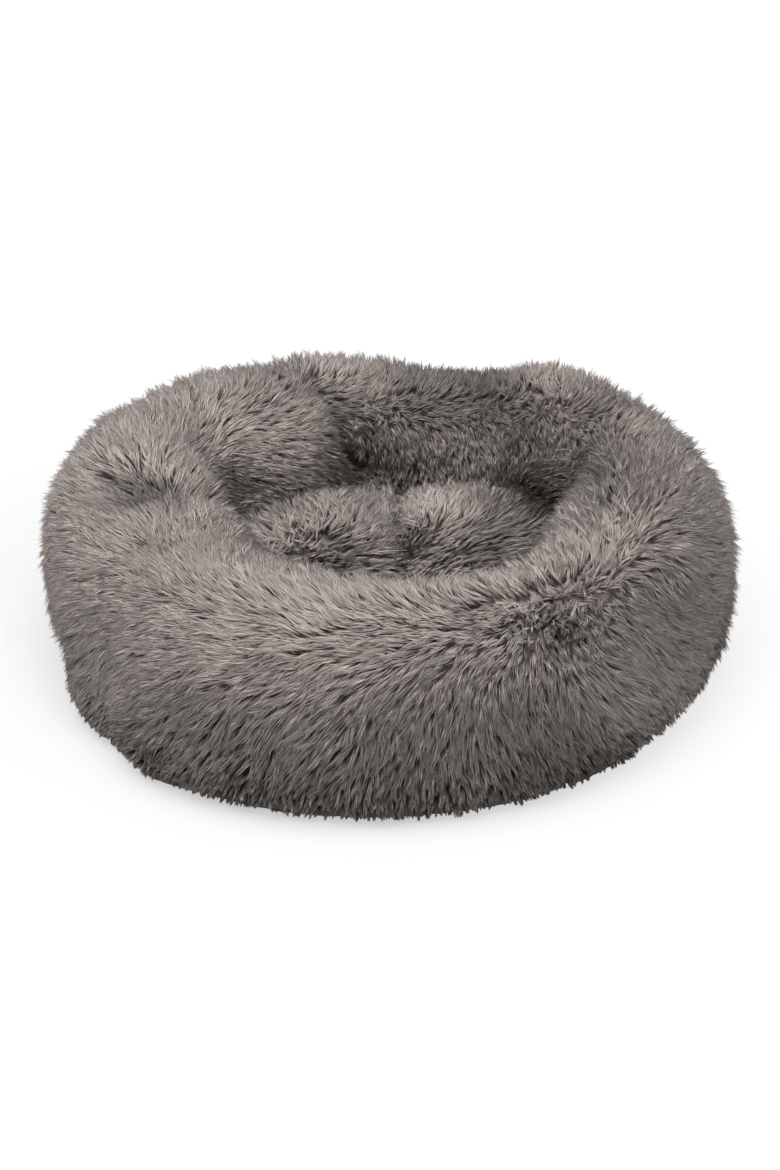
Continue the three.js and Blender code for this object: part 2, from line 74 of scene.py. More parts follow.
def in_photo(points):
    """Where points fall in the photograph, in its pixels, and how that changes as a point moves"""
    ahead = np.array([0, CAMERA_COSINE, -CAMERA_SINE])
    right = np.array([1.0, 0, 0])
    above = np.array([0, CAMERA_SINE, CAMERA_COSINE])
    away = points - np.array(CAMERA_PLACE)
    depth = away @ ahead
    across, up = (away @ right) / depth, (away @ above) / depth
    width, height = PHOTO_SIZE
    pixels = np.stack([width / 2 + FOCAL_PIXELS * across, height / 2 - FOCAL_PIXELS * up], 1)
    shift_across = (right - across[:, None] * ahead) / depth[:, None]
    shift_up = (above - up[:, None] * ahead) / depth[:, None]
    return pixels, shift_across, shift_up, -away / np.linalg.norm(away, axis=1)[:, None]


# Modelling helpers

def pick(*objects):
    bpy.ops.object.select_all(action="DESELECT")
    for obj in objects:
        obj.select_set(True)
    bpy.context.view_layer.objects.active = objects[0]


def shaped(obj, kind, **settings):
    """The object with one modifier set and applied"""
    pick(obj)
    modifier = obj.modifiers.new(kind.title(), kind)
    for key, value in settings.items():
        setattr(modifier, key, value)
    bpy.ops.object.modifier_apply(modifier=modifier.name)
    return obj


def edited(obj, *steps):
    """The object after these steps of edit mode, each on the whole of its mesh"""
    pick(obj)
    bpy.ops.object.mode_set(mode="EDIT")
    for step, settings in steps:
        bpy.ops.mesh.select_all(action="SELECT")
        step(**settings)
    bpy.ops.object.mode_set(mode="OBJECT")
    return obj


def shade_smooth(obj):
    pick(obj)
    bpy.ops.object.shade_smooth()


def shade_by_angle(obj):
    pick(obj)
    bpy.ops.object.shade_smooth_by_angle(angle=math.radians(40))


def copy_of(obj, name):
    """A new object with its own copy of another's mesh"""
    copy = bpy.data.objects.new(name, obj.data.copy())
    bpy.context.collection.objects.link(copy)
    return copy


def copied_from(name, *nodes):
    """One welded mesh with the shape of the named solids"""
    copies = [copy_of(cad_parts[node], name) for node in nodes]
    pick(*copies)
    if len(copies) > 1:
        bpy.ops.object.join()
    whole = bpy.context.object
    whole.name = name
    whole.data.materials.clear()
    return edited(whole, (bpy.ops.mesh.customdata_custom_splitnormals_clear, {}),
                  (bpy.ops.mesh.remove_doubles, {"threshold": MERGE_DISTANCE}))


def points_of(obj, values="co"):
    flat = np.empty(len(obj.data.vertices) * 3)
    obj.data.vertices.foreach_get(values, flat)
    return flat.reshape(-1, 3)


def normals_of(obj):
    return points_of(obj, "normal")


def place_points(obj, points):
    obj.data.vertices.foreach_set("co", np.ascontiguousarray(points).ravel())
    obj.data.update()


def remeshed(obj, voxel):
    pick(obj)
    obj.data.remesh_voxel_size = voxel
    bpy.ops.object.voxel_remesh()
    return obj


FILLING_PRESSURE = 4
FILLING_FRAMES = 20


def plumped(obj, cap, sewn):
    """The cushion blown up by its filling, held where it is sewn. No point moves further than the cap,
    and the filling pushes each one that isn't sewn out by half of it at least."""
    start, outward = points_of(obj), normals_of(obj)
    held = obj.vertex_groups.new(name="sewn")
    held.add(np.nonzero(sewn)[0].tolist(), 1.0, "REPLACE")
    moved = start
    pick(obj)
    cloth = obj.modifiers.new("Filling", "CLOTH")
    cloth.settings.use_pressure = True
    cloth.settings.uniform_pressure_force = FILLING_PRESSURE
    cloth.settings.effector_weights.gravity = 0
    cloth.settings.vertex_group_mass = "sewn"
    cloth.collision_settings.use_collision = False
    for frame_number in range(1, FILLING_FRAMES + 1):
        bpy.context.scene.frame_set(frame_number)
    bpy.ops.object.modifier_apply(modifier=cloth.name)
    bpy.context.scene.frame_set(1)
    moved = points_of(obj)
    step = moved - start
    push = np.maximum((step * outward).sum(1), cap / 2 * ~sewn)
    step += outward * (push - (step * outward).sum(1))[:, None]
    length = np.linalg.norm(step, axis=1)[:, None]
    place_points(obj, start + step * np.minimum(1, cap / np.maximum(length, 1e-9)))
    obj.vertex_groups.clear()
    return obj


# Shader maths

class Socket:
    """A value, colour or vector in a material, on which Python's operators add maths nodes"""

    def __init__(self, material, link):
        self.material, self.link = material, link

    def _with(self, operation, first, second):
        return self.material.node("ShaderNodeMath", {"operation": operation}, {0: first, 1: second})

    def __add__(self, other):
        return self._with("ADD", self, other)

    def __radd__(self, other):
        return self._with("ADD", other, self)

    def __sub__(self, other):
        return self._with("SUBTRACT", self, other)

    def __rsub__(self, other):
        return self._with("SUBTRACT", other, self)

    def __mul__(self, other):
        return self._with("MULTIPLY", self, other)

    def __rmul__(self, other):
        return self._with("MULTIPLY", other, self)

    def sine(self):
        return self.material.node("ShaderNodeMath", {"operation": "SINE"}, {0: self})

    def clamped(self):
        settings = {"operation": "ADD", "use_clamp": True}
        return self.material.node("ShaderNodeMath", settings, {0: self, 1: 0.0})


class Finish:
    """A material and its nodes"""

    def __init__(self, name, roughness, metallic=0.0, specular=0.5, sheen=0.0):
        self.material = bpy.data.materials.new(name)
        self.material.use_nodes = True
        self.tree = self.material.node_tree
        self.shader = self.tree.nodes["Principled BSDF"]
        settings = {"Roughness": roughness, "Metallic": metallic, "Specular IOR Level": specular,
                    "Sheen Weight": sheen, "Sheen Roughness": 0.5}
        for key, value in settings.items():
            self.shader.inputs[key].default_value = value

    def node(self, kind, settings=None, inputs=None, output=0):
        node = self.tree.nodes.new(kind)
        for key, value in (settings or {}).items():
            setattr(node, key, value)
        for key, value in (inputs or {}).items():
            self._feed(node.inputs[key], value)
        return Socket(self, node.outputs[output])

    def _feed(self, socket, value):
        if isinstance(value, Socket):
            self.tree.links.new(value.link, socket)
        elif isinstance(value, (tuple, list)) and socket.type == "RGBA":
            socket.default_value = (*value, 1.0)
        else:
            socket.default_value = value

    def shade(self, **inputs):
        for key, value in inputs.items():
            self._feed(self.shader.inputs[key.replace("_", " ")], value)

    def mixed(self, share, first, second):
        settings = {"data_type": "RGBA", "clamp_factor": True}
        return self.node("ShaderNodeMix", settings, {0: share, 6: first, 7: second}, output=2)

    def place(self):
        return self.node("ShaderNodeTexCoord", output="Object")

    def split(self, vector):
        """The three parts of a vector"""
        parts = self.node("ShaderNodeSeparateXYZ", None, {0: vector}).link.node.outputs
        return [Socket(self, part) for part in parts]

    def noise(self, vector, scale, detail=2.0, roughness=0.5):
        return self.node("ShaderNodeTexNoise", None,
                         {"Vector": vector, "Scale": scale, "Detail": detail, "Roughness": roughness})

    def bump(self, height, strength, distance):
        self.shade(Normal=self.node("ShaderNodeBump", None,
                                    {"Height": height, "Strength": strength, "Distance": distance}))


# Colours, as they look on the bed
# The pile darkens to its root partly as painted shade deep between the locks, and lightens to its tip
# partly as a painted highlight
PILE_ROOT = (0.29, 0.243, 0.223)
PILE_BODY = (0.43, 0.372, 0.342)
PILE_TIP = (0.658, 0.587, 0.547)
# The backing's two colours are a lit and a shaded copy of one: painted light high up, painted shade
# towards the floor
BACKING_PAINTED_LIGHT = (0.30, 0.255, 0.235)
BACKING_PAINTED_SHADE = (0.12, 0.101, 0.092)
FILLING = (0.78, 0.77, 0.74)
BASE_CLOTH = (0.27, 0.235, 0.21)
TAPE_CLOTH = (0.19, 0.165, 0.145)
THREAD = (0.33, 0.29, 0.26)
ZIP_METAL = (0.55, 0.55, 0.53)

SHADE_STEPS = 64


def darker(colour, share):
    return tuple(channel * share for channel in colour)


def pile_finish():
    """Locks of fur: their UV map gives each lock's tone, with its painted light and shade, across and
    the way from root to tip up
    """
    finish = Finish("faux_fur_pile", 0.78, specular=0.18)
    uv = finish.node("ShaderNodeUVMap", {"uv_map": "OFBake"})
    tone_and_painted_light, along, _ = finish.split(uv)
    # Darker at the root, partly painted shade, and lighter at the tip, partly a painted highlight
    low = finish.mixed(((along - 0.12) * 2.2).clamped(), PILE_ROOT, PILE_BODY)
    whole = finish.mixed(((along - 0.5) * 2).clamped(), low, PILE_TIP)
    # Each lock's tone, with its painted light and shade, darkens it down to a fifth of its colour
    dark = finish.mixed(0.8, whole, (0.0, 0.0, 0.0))
    finish.shade(Base_Color=finish.mixed(tone_and_painted_light, dark, whole))
    return finish.material


def cloth_finish(name, colour, threads, sheen=0.1, painted_shade_colour=None):
    """Plain-woven cloth with so many threads to the metre, which may turn to a darker colour towards the
    floor as painted shade"""
    finish = Finish(name, 0.85, specular=0.2, sheen=sheen)
    x, y, height = finish.split(finish.place())
    turn = math.pi * threads
    weave = (x * turn).sine() * (y * turn).sine()
    mottle = finish.noise(finish.place(), 60, 3)
    tone = (weave * 0.12 + mottle * 0.35 + 0.3).clamped()
    weave_colour = finish.mixed(tone, darker(colour, 0.72), colour)
    if painted_shade_colour:
        # Painted shade: darker towards the floor
        weave_colour = finish.mixed(((height - 0.06) * 11).clamped(), painted_shade_colour, weave_colour)
    finish.shade(Base_Color=weave_colour, Roughness=0.78 + mottle * 0.15)
    finish.bump(weave, 0.5, 0.0003)
    return finish.material


def metal_finish():
    finish = Finish("brushed_zip_metal", 0.35, metallic=1.0)
    place = {"Vector": finish.place(), "Scale": (40, 900, 900)}
    grain = finish.noise(finish.node("ShaderNodeMapping", None, place), 8, 4)
    colour = finish.mixed(grain, darker(ZIP_METAL, 0.7), ZIP_METAL)
    finish.shade(Base_Color=colour, Roughness=0.25 + grain * 0.25)
    return finish.material


def coil_finish():
    finish = Finish("moulded_zip_teeth", 0.45, specular=0.4)
    speckle = finish.noise(finish.place(), 900, 2)
    colour = finish.mixed(speckle, darker(TAPE_CLOTH, 0.8), TAPE_CLOTH)
    finish.shade(Base_Color=colour, Roughness=0.4 + speckle * 0.15)
    return finish.material


def dress(obj, material, body="bed", replaces=()):
    obj.data.materials.clear()
    obj.data.materials.append(material)
    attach(obj, body)
    if replaces:
        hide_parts(*replaces)
    return obj


# The stuffed forms under the fur

RING_MIDDLE_HEIGHT = 88 * MM
RING_RADIUS = 220 * MM
SECTION_REACH = 75 * MM
SKIN_DEPTH = 13 * MM
FORM_VOXEL, PILLOW_VOXEL = 6 * MM, 12 * MM

# Below this height a form is held by the seam round the base
SEWN_HEIGHT = 12 * MM


def ring_coordinates(points, ring=None):
    """Each point's angle round the bed, its turn round the bolster's section (0 outside, 90 on top, 180
    inside) and its radius, in degrees and metres"""
    ring = points if ring is None else ring
    around = np.degrees(np.arctan2(points[:, 1], points[:, 0])) % 360
    radius = np.hypot(points[:, 0], points[:, 1])
    ring_around = np.degrees(np.arctan2(ring[:, 1], ring[:, 0])) % 360
    ring_radius = np.hypot(ring[:, 0], ring[:, 1])
    middles = []
    for at in range(0, 360, 10):
        near = np.abs((ring_around - at + 180) % 360 - 180) < 6
        middles.append((ring_radius[near].max() + ring_radius[near].min()) / 2)
    middle = np.interp(around, np.arange(0, 370, 10), middles + middles[:1])
    section = np.degrees(np.arctan2(points[:, 2] - RING_MIDDLE_HEIGHT, radius - middle))
    return around, np.where(section < -120, section + 360, section), radius


# Dents and folds of the bolster, and its swellings: where they start and end, round the bed and round
# its section in degrees, how wide they are and how far they press in, or out where it is negative, in
# millimetres
BOLSTER_FOLDS = (
    ((178, 68), (190, 112), 10, 20),
    ((151, 130), (151, 175), 22, -10),
    ((122, 72), (110, 105), 13, 4),
    ((110, 105), (98, 165), 13, 11),
    ((300, 62), (306, 52), 26, 9),
    ((218, -40), (222, 22), 11, 5),
    ((128, 135), (134, 120), 42, -8),
    ((37, 120), (37, 165), 20, -9),
    ((8, 120), (352, 118), 36, -5),
    ((156, 56), (168, 50), 34, -5),
    ((106, 84), (118, 80), 24, -5),
    ((44, 78), (54, 82), 26, -5),
    ((200, -50), (238, -54), 27, -9),
    ((180, 42), (194, 46), 34, -9),
    ((188, -24), (202, -26), 30, 7),
    ((262, -56), (322, -56), 25, -1),
    ((68, 85), (86, 85), 24, 5),
    ((216, -60), (230, -64), 22, -3),
)


def fold_depths(around, section, radius, folds):
    depth = np.zeros(len(around))
    for (start_around, start_section), (end_around, end_section), width, press in folds:
        span = (end_around - start_around + 180) % 360 - 180
        rise = end_section - start_section
        step = np.array([np.radians(span) * RING_RADIUS, np.radians(rise) * SECTION_REACH])
        off_around = np.radians((around - start_around + 180) % 360 - 180) * radius
        off_section = np.radians(section - start_section) * SECTION_REACH
        share = np.clip((off_around * step[0] + off_section * step[1]) / (step @ step), 0, 1)
        away = np.hypot(off_around - share * step[0], off_section - share * step[1]) / (width * MM)
        depth += press * MM * np.exp(-away * away)
    return depth


# The seat's mounds: their places and widths in metres and how far they rise, in millimetres, over the
# seat's own swelling, all above its rim
SEAT_SWELLS = ((-0.058, 0.018, 0.050, 13), (0.076, 0.025, 0.050, 7))
SEAT_SWELLING = 9 * MM
SEAT_RIM, SEAT_SEWN_HEIGHT = 30 * MM, 40 * MM


def bolster_form():
    """The whole bolster as one stuffed ring, its skin under the tips of the fur"""
    solids = [f"{kind}_{panel}" for kind in ("fur_panel", "bolster_pillow") for panel in PANELS]
    form = copied_from("bolster_form", *solids)
    remeshed(form, FORM_VOXEL)
    shaped(form, "SMOOTH", iterations=2, factor=0.5)
    points = points_of(form)
    around, section, radius = ring_coordinates(points)
    depth = fold_depths(around, section, radius, BOLSTER_FOLDS)
    points -= normals_of(form) * (SKIN_DEPTH + depth)[:, None]
    points[:, 2] = np.maximum(points[:, 2], 3 * MM)
    place_points(form, points)
    sewn = (depth > 5 * MM) | (points[:, 2] < SEWN_HEIGHT)
    plumped(form, 4 * MM, sewn)
    shaped(form, "SMOOTH", iterations=1, factor=0.5)
    return form


def seat_form():
    """The seat's two cushions as one form with its crease"""
    form = copied_from("seat_form", "seat_pillow_left", "seat_pillow_right")
    remeshed(form, FORM_VOXEL)
    shaped(form, "SMOOTH", iterations=3, factor=0.5)
    points = points_of(form)
    swell = np.full(len(points), SEAT_SWELLING)
    for x, y, width, lift in SEAT_SWELLS:
        swell += lift * MM * np.exp(-((points[:, 0] - x) ** 2 + (points[:, 1] - y) ** 2) / width ** 2)
    points += normals_of(form) * (swell * (points[:, 2] > SEAT_RIM))[:, None]
    place_points(form, points)
    plumped(form, 5 * MM, points[:, 2] < SEAT_SEWN_HEIGHT)
    shaped(form, "SMOOTH", iterations=3, factor=0.5)
    return form


# Comb strokes read off the photograph: where, in its pixels, and which way the tips point there, in
# degrees anticlockwise from its right
BOLSTER_STROKES = (
    # left side
    (60, 490, 165), (60, 520, 175), (60, 545, 180), (60, 570, 200), (60, 590, 225), (62, 612, 240),
    (70, 640, 260), (78, 668, 262), (80, 520, 172), (100, 508, 168), (80, 545, 180), (80, 570, 200),
    (85, 590, 206), (90, 615, 225), (92, 640, 240), (100, 662, 248), (120, 520, 160), (120, 545, 165),
    (120, 565, 178), (112, 585, 194), (120, 605, 200), (120, 625, 212), (115, 645, 226), (125, 665, 228),
    (150, 530, 150), (150, 560, 158), (150, 580, 170), (150, 600, 180), (150, 620, 188), (150, 642, 196),
    (150, 665, 202), (170, 518, 122), (180, 550, 142), (185, 575, 147), (180, 600, 160), (182, 622, 172),
    (190, 650, 187), (205, 560, 122), (210, 590, 150),
    # left notch and the lump behind it
    (115, 500, 182), (138, 503, 178), (158, 509, 165),
    (100, 440, 150), (80, 460, 160), (75, 480, 170), (110, 470, 165), (115, 455, 150), (125, 440, 130),
    (130, 420, 120), (150, 430, 92), (150, 460, 90), (135, 465, 118), (120, 485, 172), (110, 492, 178),
    (168, 430, 80), (165, 460, 82), (180, 470, 62), (195, 485, 55), (205, 505, 45), (185, 495, 50),
    (190, 455, 60), (215, 520, 60), (225, 540, 75), (240, 555, 88), (200, 535, 100),
    # front left, from the lip down
    (262, 562, 98), (275, 566, 102), (230, 575, 130), (245, 590, 148), (230, 620, 168), (230, 645, 186),
    (230, 670, 200), (280, 592, 146), (300, 600, 146), (300, 622, 165), (300, 650, 190), (300, 675, 206),
    (340, 598, 145), (340, 620, 163), (360, 640, 180), (350, 670, 205), (340, 692, 211), (380, 600, 148),
    (400, 630, 184), (400, 652, 196), (400, 680, 215), (418, 578, 112), (440, 576, 106), (470, 574, 114),
    (430, 602, 163), (470, 605, 174), (440, 640, 200), (450, 660, 214), (480, 668, 232), (450, 690, 238),
    (492, 590, 168), (500, 620, 184), (500, 650, 214), (520, 640, 208), (520, 668, 242), (510, 575, 120),
    # low left
    (90, 682, 250), (85, 700, 245), (102, 702, 240), (115, 690, 250), (130, 680, 206), (130, 700, 198),
    (140, 722, 204), (130, 740, 218), (160, 662, 190), (170, 682, 201), (170, 702, 203), (180, 722, 207),
    (170, 742, 216), (150, 752, 228), (200, 662, 191), (210, 682, 206), (210, 702, 214), (222, 722, 219),
    (230, 742, 216), (200, 752, 210), (255, 662, 196), (260, 682, 209), (252, 702, 216), (262, 722, 226),
    (270, 742, 234), (250, 762, 236), (210, 772, 232), (200, 790, 245), (240, 787, 248),
    # low front
    (300, 695, 212), (300, 720, 225), (310, 742, 230), (300, 762, 231), (290, 782, 240), (282, 800, 250),
    (350, 702, 216), (342, 722, 223), (350, 742, 231), (342, 762, 240), (332, 782, 237), (340, 802, 238),
    (395, 705, 222), (382, 730, 240), (400, 742, 245), (380, 762, 246), (390, 782, 250), (382, 802, 252),
    (430, 712, 240), (430, 732, 259), (430, 762, 265), (440, 782, 265), (420, 802, 265), (470, 685, 238),
    (480, 702, 251), (470, 722, 262), (480, 752, 268), (480, 772, 270), (470, 795, 268), (500, 690, 262),
    (500, 722, 272), (500, 752, 272), (510, 776, 275), (530, 690, 268), (530, 722, 276), (540, 752, 284),
    (540, 776, 280),
    # front right
    (540, 652, 262), (550, 680, 265), (560, 652, 263), (560, 702, 278), (570, 722, 285), (560, 752, 289),
    (575, 642, 263), (590, 642, 285), (590, 672, 300), (590, 702, 301), (600, 732, 304), (600, 760, 300),
    (612, 652, 312), (620, 672, 317), (620, 702, 312), (620, 732, 309), (632, 750, 309), (640, 640, 310),
    (650, 662, 300), (650, 690, 291), (650, 715, 300), (670, 640, 309), (680, 662, 304), (680, 690, 296),
    (700, 632, 309), (710, 652, 302), (690, 672, 304), (560, 612, 215), (575, 600, 225), (600, 600, 288),
    (545, 590, 150), (560, 585, 120), (580, 585, 92), (600, 585, 60), (540, 605, 175), (620, 612, 313),
    # right lip and outer right side
    (605, 455, 118), (600, 475, 140), (585, 485, 150), (620, 480, 104), (640, 470, 92), (640, 495, 90),
    (620, 500, 98), (600, 503, 128), (590, 522, 112), (610, 522, 97), (635, 520, 92), (580, 542, 100),
    (600, 545, 96), (575, 562, 102), (600, 565, 94), (560, 560, 108), (650, 465, 78), (662, 470, 58),
    (672, 455, 42), (685, 460, 22), (658, 500, 8), (660, 520, 0), (650, 545, 330), (662, 542, 312),
    (700, 470, 6), (700, 490, 2), (716, 502, 0), (690, 505, 3), (700, 522, 346), (720, 532, 346),
    (722, 560, 336), (690, 530, 338), (682, 542, 320), (700, 562, 317), (720, 582, 328), (700, 592, 310),
    (690, 612, 308), (716, 612, 313), (682, 582, 288), (670, 562, 268), (650, 582, 284), (650, 602, 306),
    (640, 622, 309), (662, 622, 312), (632, 600, 312),
    # right back
    (560, 380, 92), (585, 382, 84), (605, 385, 72), (620, 395, 46), (640, 402, 36), (600, 402, 22),
    (580, 410, 10), (640, 418, 20), (662, 422, 25), (620, 430, 8), (662, 440, 20), (682, 440, 14),
    (545, 430, 300), (560, 442, 292), (578, 438, 320), (550, 460, 218), (568, 470, 205), (590, 425, 340),
    # back wall
    (365, 470, 300), (380, 460, 300), (400, 460, 285), (420, 460, 276), (440, 460, 285), (460, 460, 290),
    (480, 465, 297), (500, 460, 276), (520, 460, 268), (510, 440, 266), (480, 430, 308), (460, 430, 290),
    (440, 436, 266), (420, 436, 280), (400, 440, 300), (380, 430, 310), (365, 440, 228), (375, 420, 200),
    (382, 405, 350), (400, 410, 350), (420, 405, 0), (450, 402, 0), (470, 410, 354), (492, 415, 322),
    (450, 415, 0), (370, 395, 40), (352, 402, 10), (522, 402, 300), (532, 420, 290), (500, 402, 350),
    (360, 370, 80), (400, 374, 86), (440, 374, 80), (470, 374, 76), (500, 378, 86), (535, 376, 94),
    (420, 390, 58), (450, 390, 45), (480, 388, 52), (382, 386, 70), (512, 390, 90),
    # back left lump
    (180, 398, 130), (220, 386, 128), (250, 376, 116), (280, 370, 108), (300, 362, 96), (330, 360, 90),
    (348, 366, 82), (200, 412, 45), (240, 396, 60), (262, 400, 48), (282, 395, 38), (232, 412, 24),
    (250, 416, 20), (270, 410, 24), (290, 410, 18), (302, 400, 10), (312, 412, 6), (322, 422, 354),
    (300, 430, 4), (330, 432, 350), (342, 447, 330), (332, 460, 326), (300, 450, 350), (280, 440, 0),
    (262, 440, 352), (270, 460, 354), (300, 470, 346), (250, 460, 342), (240, 475, 5), (262, 480, 0),
    (340, 470, 322),
)
SEAT_STROKES = (
    # left mound: a fan over its top, combed across below it
    (330, 485, 92), (310, 492, 112), (292, 500, 135), (350, 490, 75), (370, 500, 50), (388, 515, 20),
    (280, 515, 158), (275, 530, 172), (300, 518, 140), (318, 515, 112), (340, 514, 85), (360, 517, 58),
    (376, 528, 20), (392, 535, 355), (394, 548, 335), (285, 538, 205), (300, 545, 300), (318, 546, 322),
    (338, 546, 330), (355, 546, 335), (372, 545, 335), (280, 552, 300), (298, 560, 318), (322, 562, 325),
    (345, 565, 328), (360, 562, 330), (380, 562, 330), (385, 575, 325),
    # right mound: combed across from its left side
    (405, 500, 165), (405, 520, 195), (412, 510, 180), (425, 497, 125), (425, 512, 60), (440, 490, 105),
    (455, 486, 95), (455, 500, 70), (480, 486, 72), (480, 500, 45), (510, 495, 45), (500, 510, 15),
    (530, 508, 15), (530, 530, 345), (440, 515, 20), (460, 515, 18), (440, 530, 350), (460, 530, 352),
    (485, 528, 352), (510, 525, 350), (425, 535, 340), (412, 535, 300), (410, 550, 325), (425, 552, 338),
    (440, 552, 342), (460, 552, 345), (480, 550, 342), (505, 548, 335),
)
STROKE_REACH = 12
SEEN_ABOVE_ROOT = 10 * MM


def combed(pixels, strokes):
    """The photograph's comb direction at each pixel place, blended from the strokes round it"""
    table = np.array(strokes, float)
    turn = np.radians(table[:, 2])
    ways = np.stack([np.cos(turn), np.sin(turn)], 1)
    result, agreement = np.empty_like(pixels), np.empty(len(pixels))
    for start in range(0, len(pixels), 4096):
        part = slice(start, start + 4096)
        away = ((pixels[part, None, :] - table[None, :, :2]) ** 2).sum(2)
        close, wide = (1 / (away + reach ** 2) ** 2 for reach in (STROKE_REACH, 2 * STROKE_REACH))
        result[part] = close @ ways
        agreement[part] = np.linalg.norm(wide @ ways, axis=1) / wide.sum(1)
    return result / np.maximum(np.linalg.norm(result, axis=1), 1e-12)[:, None], agreement


def unit(vectors):
    return vectors / np.maximum(np.linalg.norm(vectors, axis=1), 1e-12)[:, None]


def along_surface(ways, normals):
    """Directions laid flat on the surface that has these normals"""
    return unit(ways - (ways * normals).sum(1)[:, None] * normals)


def swung(ways, normals, turn):
    """Directions turned on the surface by so many radians each"""
    return unit(ways * np.cos(turn)[:, None] + np.cross(normals, ways) * np.sin(turn)[:, None])


def comb_directions(roots, normals, resting, strokes):
    """The way the fur lies at each root, as the photograph shows it where it is in view, else as it
    rests, how far it stands up in a whorl and how far it is tousled"""
    pixels, shift_across, shift_up, to_eye = in_photo(roots + normals * SEEN_ABOVE_ROOT)
    wanted, agreement = combed(pixels, strokes)
    first = unit(np.cross(normals, np.array([0.13, 0.31, 0.94])))
    second = np.cross(normals, first)
    matrix = np.stack([(shift_across * first).sum(1), (shift_across * second).sum(1),
                       (shift_up * first).sum(1), (shift_up * second).sum(1)], 1)
    a, b, c, d = matrix.T
    scale = a * a + b * b + c * c + d * d
    determinant = a * d - b * c
    damped = determinant / (determinant ** 2 + (0.12 * scale) ** 2)
    along_first = (d * wanted[:, 0] - b * wanted[:, 1]) * damped
    along_second = (-c * wanted[:, 0] + a * wanted[:, 1]) * damped
    shown = unit(along_first[:, None] * first + along_second[:, None] * second)
    facing = np.clip(((normals * to_eye).sum(1) - 0.02) / 0.25, 0, 1)[:, None]
    blended = shown * facing + along_surface(resting, normals) * (1 - facing)
    upright = np.clip((0.8 - agreement) / 0.5, 0, 1) * facing[:, 0]
    tousled = np.clip(patches_at(roots, normals, TOUSLED_PATCHES), 0, 1)
    return along_surface(blended, normals), upright, tousled


def waves(points, lengths, seed):
    """Smooth noise from -1 to 1 over space, with patches of about the given lengths"""
    random = np.random.default_rng(seed)
    total = np.zeros(len(points))
    for length in lengths:
        for _ in range(4):
            way = random.normal(size=3)
            along = points @ (way / np.linalg.norm(way))
            total += np.sin(along * (2 * math.pi / length) + random.uniform(0, 6.28))
    return total / (len(lengths) * 2)


# Patches of painted light and painted shade, where the fur is lighter or darker than the rest: their
# place and reach in the photograph's pixels and the change of shade
PAINTED_LIGHT_AND_SHADE_PATCHES = (
    (270, 450, 60, 0.3), (152, 500, 13, -0.55), (134, 502, 13, -0.4), (166, 495, 11, -0.4),
    (116, 500, 12, -0.35), (178, 505, 10, -0.2), (524, 490, 17, -0.45), (536, 502, 14, -0.6),
    (440, 400, 60, -0.3), (520, 440, 45, -0.25), (530, 497, 18, -0.5), (545, 510, 12, -0.4),
    (180, 570, 60, -0.12), (430, 472, 45, 0.15), (690, 690, 50, 0.15), (610, 490, 45, -0.5),
    (200, 400, 50, -0.2), (330, 500, 30, 0.2), (335, 560, 26, -0.2), (410, 470, 20, -0.3),
    (355, 440, 16, -0.2), (595, 450, 16, -0.3), (570, 620, 40, -0.1), (100, 560, 60, 0.1),
    (190, 440, 14, -0.2), (225, 470, 12, -0.2), (430, 392, 55, -0.45), (500, 388, 35, -0.3),
    (440, 467, 50, 0.35), (510, 472, 30, 0.2), (600, 398, 30, -0.25), (560, 432, 30, -0.12),
    (580, 605, 45, -0.12), (275, 392, 40, -0.14), (485, 770, 50, 0.12), (620, 700, 50, 0.1),
    (205, 445, 14, -0.1), (190, 420, 40, 0.14), (235, 478, 16, -0.2), (430, 474, 60, 0.25),
    (612, 500, 40, 0.14), (290, 600, 60, -0.06), (480, 600, 40, -0.08), (660, 590, 40, -0.1),
    (100, 690, 40, 0.1), (390, 605, 40, -0.08), (475, 525, 45, -0.26), (405, 530, 14, -0.3),
    (275, 390, 40, -0.1), (340, 366, 26, 0.25), (440, 372, 40, 0.25), (545, 376, 34, 0.1),
    (300, 800, 50, 0.1), (200, 775, 40, 0.12), (95, 680, 40, 0.15), (620, 700, 40, 0.12),
)


# Places where the fur is tousled into long, loose locks, given as the patches are
TOUSLED_PATCHES = (
    (612, 465, 24, 0.8), (600, 515, 28, 0.9), (635, 500, 24, 0.5), (580, 560, 30, 0.8),
    (540, 598, 26, 0.9), (560, 620, 24, 0.5), (148, 475, 24, 0.7), (215, 500, 22, 0.5),
    (330, 492, 24, 0.7), (400, 545, 20, 0.7), (315, 550, 30, 0.7), (355, 555, 24, 0.6),
    (460, 525, 30, 0.3), (420, 478, 22, 0.6), (290, 372, 30, 0.4), (450, 565, 20, 0.4),
    (470, 610, 26, 0.3), (545, 500, 22, 0.5),
)


def patches_at(roots, normals, patches):
    pixels, _, _, _ = in_photo(roots + normals * SEEN_ABOVE_ROOT)
    change = np.zeros(len(roots))
    for x, y, reach, amount in patches:
        change += amount * np.exp(-((pixels[:, 0] - x) ** 2 + (pixels[:, 1] - y) ** 2) / reach ** 2)
    return change


# Fur: locks of tapering strands

STRANDS_PER_LOCK = 6
STRAND_TRIANGLES = 6
MOST_TRIANGLES = 190000
LOCK_SPACING = 4.06 * MM
SEAT_LOCK_SPACING = 4.5 * MM
CANDIDATES_PER_LOCK = 5
STRAND_WIDTHS = (0.75, 1.25)
STRAND_DEPTH = 0.9
ROOT_DEPTH = 1.5 * MM
FLOOR_CLEARANCE = 0.6 * MM

# How far along it a strand is fullest, where it tapers and where it is cut blunt
FULLEST_SLIM, FULLEST_BLUNT = (0.38, 0.72), (0.65, 0.92)

# Height over which the locks grow even towards the floor, and the size they come to
EVEN_HEIGHT, EVEN_SIZE = 36 * MM, 0.9


